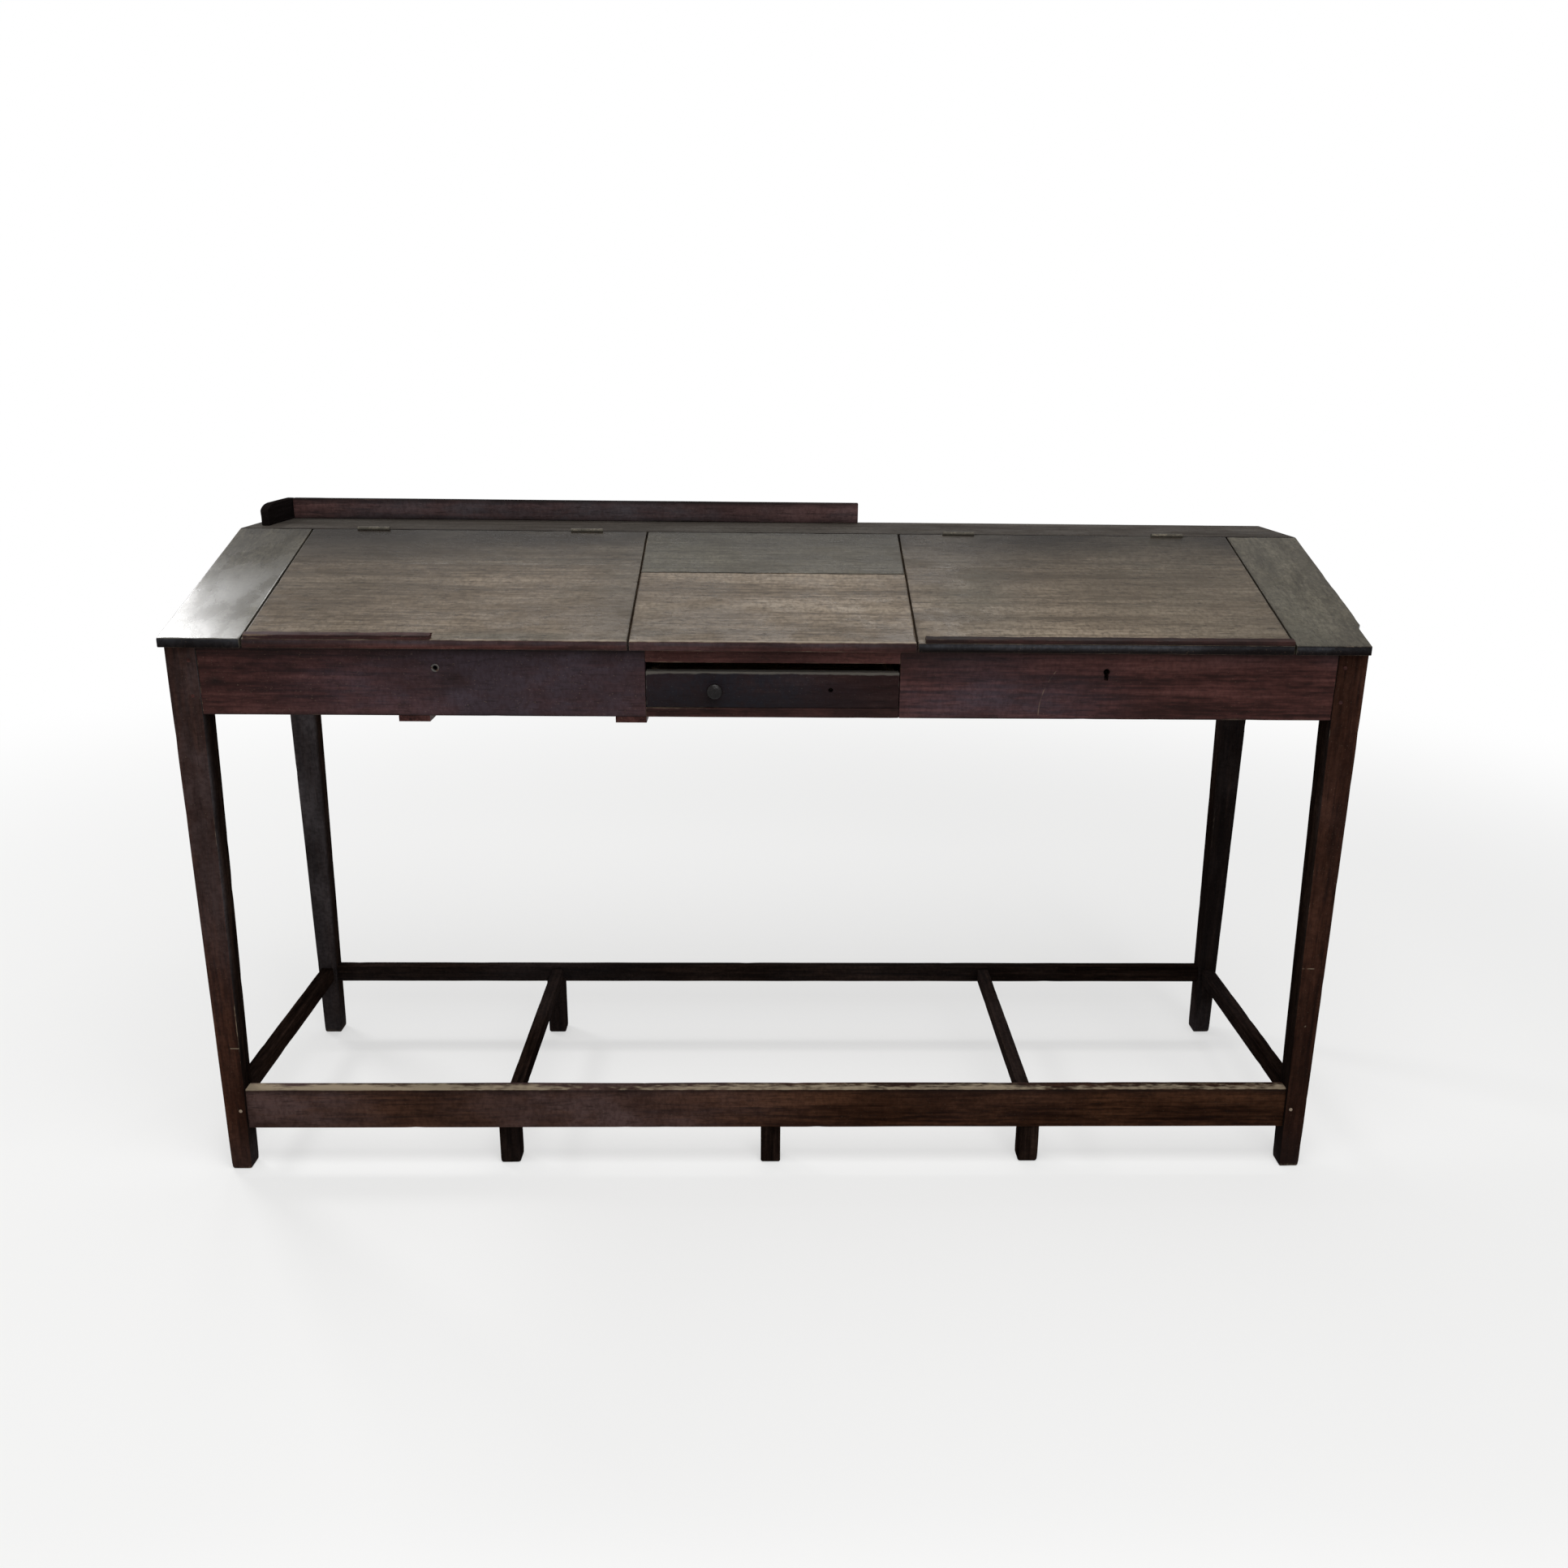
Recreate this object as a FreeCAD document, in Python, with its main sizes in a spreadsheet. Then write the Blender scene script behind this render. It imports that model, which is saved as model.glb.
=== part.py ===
import FreeCAD, Part
import os
import re
import Sketcher

# A clerk's standing desk: a sloping top with two lids over a shallow box, on four tapered legs.
# Millimetres. +X runs to the clerk's right, +Y to the back, +Z up.
# The origin is on the floor, under the middle of the top.

# Driving dimensions, by sub-assembly
SIZES = {
    # whole desk
    "frame_width": 2000.0,
    "frame_depth": 570.0,
    "front_overhang": 20.0,
    "back_overhang": 10.0,
    "side_overhang": 2.0,
    # sloping top
    "front_edge_height": 1004.0,
    "slope_angle": 18.5,
    "slope_run": 398.0,
    "board_thickness": 15.0,
    "centre_panel_width": 476.0,
    "centre_joint_setback": 238.0,
    "board_joint": 0.6,
    "end_board_width": 135.0,
    "seam_gap": 3.0,
    "lid_seat_clearance": 0.3,
    # lid furniture
    "cleat_width": 40.0,
    "cleat_thickness": 14.0,
    "cleat_front_setback": 70.0,
    "cleat_back_setback": 40.0,
    "cleat_inset": 124.5,
    "ledge_width": 12.0,
    "ledge_rise": 7.0,
    "left_ledge_length": 306.0,
    "left_ledge_inset": 3.0,
    "right_ledge_inset": 12.0,
    # gallery along the back
    "gallery_rise": 40.0,
    "gallery_thickness": 15.0,
    "gallery_setback": 8.0,
    "gallery_reach_share": 0.172,
    "wing_inset": 24.0,
    "wing_length": 152.0,
    "wing_front_rise": 40.0,
    "wing_corner_radius": 10.0,
    # legs
    "leg_width": 50.0,
    "leg_foot_width": 36.0,
    # box under the top
    "apron_drop": 132.5,
    "apron_thickness": 20.0,
    "panel_thickness": 18.0,
    "panel_setback": 2.0,
    "tenon_thickness": 8.0,
    "tenon_length": 25.0,
    "tenon_shoulder": 12.0,
    "groove_depth": 6.0,
    "floor_lift": 6.5,
    "floor_thickness": 10.0,
    "floor_board_gap": 1.0,
    "bay_width": 456.0,
    "partition_thickness": 20.0,
    "bearer_width": 52.0,
    "bearer_drop": 10.0,
    "outer_bearer_share": 0.6,
    "shelf_rail_depth": 24.0,
    "shelf_rail_height": 40.0,
    "rafter_width": 24.0,
    "rafter_height": 30.0,
    # foot rails and stretchers
    "foot_rail_bottom": 82.0,
    "foot_rail_height": 80.0,
    "foot_rail_thickness": 26.0,
    "foot_rail_setback": 7.5,
    "stretcher_top": 159.0,
    "stretcher_height": 32.0,
    "stretcher_thickness": 25.0,
    "back_rail_height": 35.0,
    "back_rail_setback": 6.0,
    "cross_top": 154.0,
    "cross_height": 28.0,
    "cross_thickness": 24.0,
    "cross_share": 0.475,
    "low_tenon_thickness": 10.0,
    "low_tenon_shoulder": 6.0,
    "low_tenon_length": 20.0,
    "side_tenon_length": 12.0,
    "cross_tenon_length": 12.0,
    # short feet under the rails
    "short_foot_width": 37.0,
    "short_foot_depth": 36.0,
    "short_foot_setback": 18.0,
    "short_foot_share": 0.488,
    "short_foot_lap": 38.0,
    "back_foot_share": 0.48,
    "back_foot_tenon_width": 22.0,
    # drawer and its opening
    "drawer_opening_width": 426.0,
    "drawer_rail_height": 16.5,
    "drawer_opening_height": 77.0,
    "rail_tenon_length": 14.0,
    "rail_tenon_shoulder": 4.0,
    "drawer_side_gap": 1.0,
    "drawer_running_gap": 0.5,
    "drawer_front_height": 61.5,
    "drawer_front_thickness": 18.0,
    "drawer_length": 410.0,
    "drawer_box_inset": 6.0,
    "drawer_side_thickness": 10.0,
    "drawer_side_height": 54.0,
    "drawer_lap": 12.0,
    "drawer_bottom_lift": 6.0,
    "drawer_bottom_thickness": 6.0,
    "drawer_groove": 4.0,
    "drawer_back_inset": 4.0,
    "runner_reach": 38.0,
    "runner_thickness": 10.0,
    "guide_height": 17.0,
    "guide_gap": 1.5,
    # drawer knob
    "knob_spacing": 194.0,
    "knob_radius": 13.5,
    "knob_length": 20.0,
    "knob_head_thickness": 13.0,
    "knob_neck_radius": 6.0,
    "knob_base_radius": 8.0,
    "knob_shank_radius": 4.0,
    "lost_knob_hole_radius": 3.5,
    # hinges of the lids
    "hinge_inset": 114.5,
    "hinge_length": 60.0,
    "hinge_leaf_thickness": 2.0,
    "hinge_leaf_drop": 12.0,
    "hinge_knuckle_radius": 4.0,
    "hinge_knuckle_gap": 0.3,
    "hinge_notch_clearance": 0.5,
    "hinge_axis_rise": 1.0,
    "hinge_joint_gap": 1.0,
    "hinge_pin_radius": 1.5,
    "hinge_pin_clearance": 0.05,
    "screw_drop": 8.0,
    "screw_spacing": 20.0,
    "screw_head_radius": 3.0,
    "screw_head_depth": 1.8,
    "screw_shank_radius": 1.5,
    "screw_length": 14.0,
    # box locks behind the apron
    "lock_shift": 7.5,
    "lock_width": 70.0,
    "lock_height": 62.0,
    "lock_depth": 24.0,
    "lock_wall": 2.0,
    "lock_drop": 3.0,
    "staple_setback": 10.0,
    "staple_width": 10.0,
    "staple_thickness": 4.0,
    "staple_bar": 3.0,
    "staple_embed": 8.0,
    "staple_clearance": 1.0,
    "bolt_drop": 8.0,
    "bolt_height": 5.0,
    "bolt_thickness": 4.0,
    "bolt_length": 24.0,
    "bolt_rest_gap": 2.0,
    "bolt_slide_gap": 0.2,
    "key_drop": 46.0,
    "round_key_radius": 4.0,
    "key_slot_width": 5.0,
    "key_slot_drop": 12.5,
    "key_eye_radius": 4.5,
    # draw-bored pegs
    "peg_radius": 3.5,
    "peg_length": 30.0,
    "low_peg_length": 24.0,
    "peg_clearance": 0.05,
    "peg_proud": 0.6,
    "peg_edge_distance": 32.0,
    # how far a cutting tool runs past what it cuts
    "overrun": 2.0,
}
FLOOR_BOARD_COUNT = 3
SIDES = {"left": -1, "right": 1}

doc = FreeCAD.newDocument("clerks_standing_desk")
sheet = doc.addObject("Spreadsheet::Sheet", "sizes")
for row, (alias, value) in enumerate(SIZES.items(), start=1):
    sheet.set(f"A{row}", alias)
    sheet.set(f"B{row}", str(value))
    sheet.setAlias(f"B{row}", alias)
doc.recompute()

ALIAS_PATTERN = re.compile(r"\b(" + "|".join(sorted(SIZES, key=len, reverse=True)) + r")\b")
ALONG_X = FreeCAD.Rotation(FreeCAD.Vector(0, 1, 0), 90)
ALONG_BACK = FreeCAD.Rotation(FreeCAD.Vector(1, 0, 0), -90)
ALONG_FRONT = FreeCAD.Rotation(FreeCAD.Vector(1, 0, 0), 90)
UPRIGHT = FreeCAD.Rotation()

# Shared places, written in the sheet's names
TOP_FRONT = "(-(front_overhang + frame_depth + back_overhang) / 2)"
TOP_BACK = "((front_overhang + frame_depth + back_overhang) / 2)"
LEG_FRONT = f"({TOP_FRONT} + front_overhang)"
LEG_BACK = f"({LEG_FRONT} + frame_depth)"
HALF_FRAME = "(frame_width / 2)"
HALF_TOP = "(frame_width / 2 + side_overhang)"
APRON_FRONT = f"({LEG_FRONT} + panel_setback)"
APRON_BACK = f"({APRON_FRONT} + apron_thickness)"
BACK_PANEL_BACK = f"({LEG_BACK} - panel_setback)"
BACK_PANEL_FRONT = f"({BACK_PANEL_BACK} - panel_thickness)"
SIDE_PANEL_OUTER = f"({HALF_FRAME} - panel_setback)"
SIDE_PANEL_INNER = f"({SIDE_PANEL_OUTER} - panel_thickness)"
LEG_INNER = f"({HALF_FRAME} - leg_width)"
PARTITION_INNER = "(bay_width / 2)"
PARTITION_OUTER = f"({PARTITION_INNER} + partition_thickness)"
APRON_BOTTOM = "(front_edge_height - apron_drop)"
FLOOR_UNDER = f"({APRON_BOTTOM} + floor_lift)"
JOINT = f"({TOP_FRONT} + slope_run)"
LID_BACK = f"({JOINT} - hinge_joint_gap / 2)"
SHELF_FRONT = f"({JOINT} + hinge_joint_gap / 2)"
SHELF_TOP = "(front_edge_height + slope_run * tan(slope_angle))"
SHELF_UNDER = f"({SHELF_TOP} - board_thickness)"
SLOPE_BREAK = f"({JOINT} + board_thickness * (1 / cos(slope_angle) - 1) / tan(slope_angle))"
SHELF_RAIL_FRONT = f"({JOINT} - shelf_rail_depth / 2)"
SHELF_RAIL_BACK = f"({JOINT} + shelf_rail_depth / 2)"
INNER_SEAM = "(centre_panel_width / 2)"
OUTER_SEAM = f"({HALF_TOP} - end_board_width)"
LID_CENTRE = f"(({INNER_SEAM} + {OUTER_SEAM}) / 2)"
HALF_LID = f"(({OUTER_SEAM} - {INNER_SEAM}) / 2)"
HALF_OPENING = "(drawer_opening_width / 2)"
OPENING_BOTTOM = f"({APRON_BOTTOM} + drawer_rail_height)"
OPENING_TOP = f"({OPENING_BOTTOM} + drawer_opening_height)"
DRAWER_BOTTOM = f"({OPENING_BOTTOM} + drawer_running_gap)"
HINGE_AXIS = f"({SHELF_TOP} + hinge_axis_rise)"
FOOT_RAIL_FRONT = f"({LEG_FRONT} + foot_rail_setback)"
FOOT_RAIL_BACK = f"({FOOT_RAIL_FRONT} + foot_rail_thickness)"
BACK_RAIL_BACK = f"({LEG_BACK} - back_rail_setback)"
BACK_RAIL_FRONT = f"({BACK_RAIL_BACK} - stretcher_thickness)"
STRETCHER_BOTTOM = "(stretcher_top - stretcher_height)"
BACK_RAIL_BOTTOM = "(stretcher_top - back_rail_height)"
STRETCHER_TAPER_SHARE = f"((stretcher_top - stretcher_height / 2) / {APRON_BOTTOM})"
LEG_AT_STRETCHER = f"(leg_foot_width + (leg_width - leg_foot_width) * {STRETCHER_TAPER_SHARE})"


def slope_top(place):
    """Height of the sloping top's upper face at a place in y."""
    return f"(front_edge_height + (({place}) - {TOP_FRONT}) * tan(slope_angle))"


def slope_under(place):
    """Height of the sloping top's under face at a place in y."""
    return f"({slope_top(place)} - board_thickness / cos(slope_angle))"


def lid_under(place):
    """Height of a lid's under face, which clears its seat."""
    return f"({slope_under(place)} + lid_seat_clearance)"


def bind(thing, name, text):
    """Bind one property to the sheet."""
    thing.setExpression(name, ALIAS_PATTERN.sub(r"sizes.\1", str(text)))


def put(thing, x, y, z, rotation=UPRIGHT):
    """Turn a shape, then bind its place to the sheet."""
    thing.Placement = FreeCAD.Placement(FreeCAD.Vector(), rotation)
    for letter, text in zip("xyz", (x, y, z)):
        bind(thing, f"Placement.Base.{letter}", text)
    return thing


def block(name, x_range, y_range, z_range):
    """A squared piece between bound planes."""
    made = doc.addObject("Part::Box", name)
    for size, (low, high) in zip(("Length", "Width", "Height"), (x_range, y_range, z_range)):
        bind(made, size, f"({high}) - ({low})")
    return put(made, x_range[0], y_range[0], z_range[0])


def rod(name, radius, length, place, rotation):
    """A round bar from a bound place along one axis."""
    made = doc.addObject("Part::Cylinder", name)
    bind(made, "Radius", radius)
    bind(made, "Height", length)
    return put(made, *place, rotation)


def mirrored(side, low, high):
    """A range of x on the right, or its mirror on the left."""
    return (low, high) if side > 0 else (f"-({high})", f"-({low})")


def joined(name, shapes):
    """One solid, or one set of solids, from several shapes."""
    if len(shapes) == 1:
        return shapes[0]
    made = doc.addObject("Part::MultiFuse", name)
    made.Shapes = shapes
    return made


def cut(name, base, tools):
    """What is left of a piece once the tools are taken out."""
    made = doc.addObject("Part::Cut", name)
    made.Base = base
    made.Tool = joined(f"{name}_tools", tools)
    return made


def group(name, shapes):
    """Separate solids that share one node."""
    made = doc.addObject("Part::Compound", name)
    made.Links = shapes
    return made


def outline(body, name, role, points):
    """A closed outline of straight edges whose corners are bound to the sheet."""
    plane = [item for item in body.Origin.OriginFeatures if item.Role == role][0]
    sketch = body.newObject("Sketcher::SketchObject", name)
    sketch.AttachmentSupport = [(plane, "")]
    sketch.MapMode = "FlatFace"
    start = [FreeCAD.Vector(evaluate(across), evaluate(up), 0) for across, up in points]
    count = len(points)
    for index in range(count):
        sketch.addGeometry(Part.LineSegment(start[index], start[(index + 1) % count]), False)
    for index in range(count):
        sketch.addConstraint(Sketcher.Constraint("Coincident", index, 2, (index + 1) % count, 1))
    for index, corner in enumerate(points):
        for kind, value, text in zip(("DistanceX", "DistanceY"), start[index], corner):
            number = sketch.addConstraint(Sketcher.Constraint(kind, index, 1, value))
            sketch.renameConstraint(number, f"{kind}_{index}")
            bind(sketch, f"Constraints.{kind}_{index}", text)
    return sketch


def evaluate(text):
    """The number that an expression in the sheet's names gives."""
    return float(sheet.evalExpression(ALIAS_PATTERN.sub(r"sizes.\1", str(text))))


def new_body(name):
    """An empty body with its origin planes."""
    return doc.addObject("PartDesign::Body", name)


def profile(name, x_range, points):
    """A piece of one section, drawn in y and z and drawn out along x."""
    body = new_body(name)
    sketch = outline(body, f"{name}_section", "YZ_Plane", points)
    pad = body.newObject("PartDesign::Pad", f"{name}_length")
    pad.Profile = sketch
    bind(pad, "Length", f"({x_range[1]}) - ({x_range[0]})")
    return put(body, x_range[0], 0, 0)


def strip(name, x_range, front, back, under, over):
    """A sloping board, plumb at both edges, between two faces."""
    corners = [(front, under(front)), (back, under(back)), (back, over(back)), (front, over(front))]
    return profile(name, x_range, corners)


def gable(front, back, bottom):
    """Corners of an upright board whose top follows the slope and then the shelf."""
    return [
        (front, bottom),
        (back, bottom),
        (back, SHELF_UNDER),
        (SLOPE_BREAK, SHELF_UNDER),
        (front, slope_under(front)),
    ]


pieces = {}
mortises = {}
peg_holes = {}
pegs = []


def keep(name, shape, tools=()):
    """Name a finished sub-part, after taking out what is let into it."""
    waiting = list(tools) + mortises.get(name, [])
    if waiting:
        shape = cut(f"{name}_let_in", shape, waiting)
    if name in peg_holes:
        shape = cut(f"{name}_bored", shape, peg_holes[name])
    shape.Label = name
    pieces[name] = shape
    return shape


def let_into(host, tool):
    """Note that a tool is to be taken out of a host piece."""
    mortises.setdefault(host, []).append(tool)


def add_peg(name, hosts, place, rotation, length="peg_length"):
    """A peg driven from an outer face through the pieces of one joint."""
    hole = rod(f"{name}_hole", "peg_radius + peg_clearance", length, place, rotation)
    for host in hosts:
        peg_holes.setdefault(host, []).append(hole)
    inward = rotation.multVec(FreeCAD.Vector(0, 0, 1))
    outer = [f"({text}) - ({share}) * peg_proud" for text, share in zip(place, inward)]
    pegs.append(rod(name, "peg_radius", f"{length} + peg_proud", outer, rotation))


# Legs, straight at the box and tapered on the two inner faces below it
LEG_ENDS = {"front": 1, "back": -1}


def leg_blank(name, side, end):
    """A leg before its mortises are cut, drawn from its outer corner."""
    x_sign = -side
    y_sign = LEG_ENDS[end]
    corner = LEG_FRONT if end == "front" else LEG_BACK
    body = new_body(f"{name}_blank")
    corners = ((0, 0), (x_sign, 0), (x_sign, y_sign), (0, y_sign))
    foot = outline(body, f"{name}_foot", "XY_Plane",
                   [(f"{a} * leg_foot_width", f"{b} * leg_foot_width") for a, b in corners])
    knee = outline(body, f"{name}_knee", "XY_Plane",
                   [(f"{a} * leg_width", f"{b} * leg_width") for a, b in corners])
    bind(knee, "AttachmentOffset.Base.z", APRON_BOTTOM)
    taper = body.newObject("PartDesign::AdditiveLoft", f"{name}_taper")
    taper.Profile = foot
    taper.Sections = [knee]
    taper.Ruled = True
    tops = [SHELF_UNDER, SHELF_UNDER]
    if end == "front":
        tops = [slope_under(corner), slope_under(f"({corner} + leg_width)")]
    head = outline(body, f"{name}_head", "YZ_Plane", [
        (0, APRON_BOTTOM),
        (f"{y_sign} * leg_width", APRON_BOTTOM),
        (f"{y_sign} * leg_width", tops[1]),
        (0, tops[0]),
    ])
    pad = body.newObject("PartDesign::Pad", f"{name}_height")
    pad.Profile = head
    pad.Reversed = x_sign < 0
    bind(pad, "Length", "leg_width")
    return put(body, f"{side} * {HALF_FRAME}", corner, 0)


legs = {}
for end in LEG_ENDS:
    for word, side in SIDES.items():
        legs[f"{end}_{word}_leg"] = leg_blank(f"{end}_{word}_leg", side, end)

# Tenons of the box into the legs, with their pegs
TENON_BOTTOM = f"({APRON_BOTTOM} + tenon_shoulder)"
APRON_TENON_TOP = f"({slope_under(APRON_FRONT)} - tenon_shoulder)"
SIDE_FRONT_TENON_TOP = f"({slope_under(f'({LEG_FRONT} + leg_width)')} - 2 * tenon_shoulder)"
PANEL_TENON_TOP = f"({SHELF_UNDER} - tenon_shoulder)"
TENON_MIDDLE = f"({LEG_INNER} + tenon_length / 2)"
PEG_LOW = f"({APRON_BOTTOM} + peg_edge_distance)"
apron_tenons = {}
side_tenons = {}
back_tenons = []
for word, side in SIDES.items():
    tenon_x = mirrored(side, LEG_INNER, f"({LEG_INNER} + tenon_length)")
    middle = f"({APRON_FRONT} + apron_thickness / 2)"
    tenon = block(f"{word}_apron_tenon", tenon_x,
                  (f"{middle} - tenon_thickness / 2", f"{middle} + tenon_thickness / 2"),
                  (TENON_BOTTOM, APRON_TENON_TOP))
    apron_tenons[word] = tenon
    let_into(f"front_{word}_leg", tenon)
    for number, height in enumerate((PEG_LOW, f"({slope_under(APRON_FRONT)} - peg_edge_distance)")):
        add_peg(f"{word}_apron_peg_{number}", (f"front_{word}_leg", f"{word}_front_apron"),
                (f"{side} * {TENON_MIDDLE}", LEG_FRONT, height), ALONG_BACK)

    middle = f"({BACK_PANEL_FRONT} + panel_thickness / 2)"
    tenon = block(f"{word}_back_tenon", tenon_x,
                  (f"{middle} - tenon_thickness / 2", f"{middle} + tenon_thickness / 2"),
                  (TENON_BOTTOM, PANEL_TENON_TOP))
    back_tenons.append(tenon)
    let_into(f"back_{word}_leg", tenon)
    for number, height in enumerate((PEG_LOW, f"({SHELF_UNDER} - peg_edge_distance)")):
        add_peg(f"{word}_back_peg_{number}", (f"back_{word}_leg", "back_panel"),
                (f"{side} * {TENON_MIDDLE}", LEG_BACK, height), ALONG_FRONT)

    middle = f"({SIDE_PANEL_INNER} + panel_thickness / 2)"
    panel_x = mirrored(side, f"{middle} - tenon_thickness / 2", f"{middle} + tenon_thickness / 2")
    inward = FreeCAD.Rotation(FreeCAD.Vector(0, 1, 0), -90 * side)
    side_tenons[word] = []
    for end, y_sign in LEG_ENDS.items():
        corner = LEG_FRONT if end == "front" else LEG_BACK
        face = f"({corner} + {y_sign} * leg_width)"
        deep = f"({face} - {y_sign} * tenon_length)"
        top = SIDE_FRONT_TENON_TOP if end == "front" else PANEL_TENON_TOP
        y_range = (deep, face) if y_sign > 0 else (face, deep)
        tenon = block(f"{word}_{end}_side_tenon", panel_x, y_range, (TENON_BOTTOM, top))
        side_tenons[word].append(tenon)
        let_into(f"{end}_{word}_leg", tenon)
        for number, height in enumerate((PEG_LOW, f"({top} - peg_edge_distance + tenon_shoulder)")):
            add_peg(f"{word}_{end}_side_peg_{number}", (f"{end}_{word}_leg", f"{word}_side_panel"),
                    (f"{side} * {HALF_FRAME}", f"({face} - {y_sign} * tenon_length / 2)", height), inward)

# Floor boards, let into grooves all round each compartment
floor_boards = []
for word, side in SIDES.items():
    floor_x = mirrored(side, f"({PARTITION_OUTER} - groove_depth)", f"({SIDE_PANEL_INNER} + groove_depth)")
    floor_y = (f"({APRON_BACK} - groove_depth)", f"({BACK_PANEL_FRONT} + groove_depth)")
    floor_z = (FLOOR_UNDER, f"({FLOOR_UNDER} + floor_thickness)")
    groove = block(f"{word}_floor_groove", floor_x, floor_y, floor_z)
    for host in (f"{word}_front_apron", f"{word}_side_panel", f"{word}_partition", "back_panel"):
        let_into(host, groove)
    pitch = f"(({floor_y[1]} - {floor_y[0]} + floor_board_gap) / {FLOOR_BOARD_COUNT})"
    for number in range(FLOOR_BOARD_COUNT):
        front = f"({floor_y[0]} + {number} * {pitch})"
        board = block(f"{word}_floor_board_{number}", floor_x,
                      (front, f"({front} + {pitch} - floor_board_gap)"), floor_z)
        corner_legs = {0: "front", FLOOR_BOARD_COUNT - 1: "back"}
        if number in corner_legs:
            board = cut(f"{board.Name}_notched", board, [legs[f"{corner_legs[number]}_{word}_leg"]])
        floor_boards.append(board)
keep("floor_boards", group("floor_boards", floor_boards))

# Partitions between the drawer bay and the compartments, housed at both ends
partitions = {}
for word, side in SIDES.items():
    name = f"{word}_partition"
    ends = (f"({APRON_BACK} - groove_depth)", f"({BACK_PANEL_FRONT} + groove_depth)")
    partition_x = mirrored(side, PARTITION_INNER, PARTITION_OUTER)
    partitions[name] = profile(f"{name}_blank", partition_x, gable(ends[0], ends[1], FLOOR_UNDER))
    housing_front = block(f"{name}_front_housing", partition_x, (ends[0], APRON_BACK),
                          (FLOOR_UNDER, f"({SHELF_UNDER} + overrun)"))
    housing_back = block(f"{name}_back_housing", partition_x, (BACK_PANEL_FRONT, ends[1]),
                         (FLOOR_UNDER, f"({SHELF_UNDER} + overrun)"))
    let_into(f"{word}_front_apron", housing_front)
    let_into("back_panel", housing_back)

# Rails under the front edge of the shelf, housed in the panels and partitions
shelf_rails = []
RAIL_BOTTOM = f"({SHELF_UNDER} - shelf_rail_height)"
rail_spans = {
    "left": (f"-({SIDE_PANEL_INNER} + groove_depth)", f"-({PARTITION_OUTER} - groove_depth)"),
    "centre": (f"-({PARTITION_INNER} + groove_depth)", f"({PARTITION_INNER} + groove_depth)"),
    "right": (f"({PARTITION_OUTER} - groove_depth)", f"({SIDE_PANEL_INNER} + groove_depth)"),
}
rail_hosts = {
    "left": ("left_side_panel", "left_partition"),
    "centre": ("left_partition", "right_partition"),
    "right": ("right_partition", "right_side_panel"),
}
for word, span in rail_spans.items():
    rail = profile(f"{word}_shelf_rail", span, gable(SHELF_RAIL_FRONT, SHELF_RAIL_BACK, RAIL_BOTTOM))
    shelf_rails.append(rail)
    for host in rail_hosts[word]:
        let_into(host, rail)
keep("shelf_rails", group("shelf_rails", shelf_rails))

for name, shape in partitions.items():
    keep(name, shape)

# Rafters under the seams of the end boards
rafters = []
for word, side in SIDES.items():
    rafter_x = mirrored(side, f"({OUTER_SEAM} - rafter_width / 2)", f"({OUTER_SEAM} + rafter_width / 2)")
    rafters.append(strip(f"{word}_rafter", rafter_x, APRON_BACK, SHELF_RAIL_FRONT,
                         lambda place: f"({slope_under(place)} - rafter_height)", slope_under))
keep("lid_rafters", group("lid_rafters", rafters))

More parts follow.
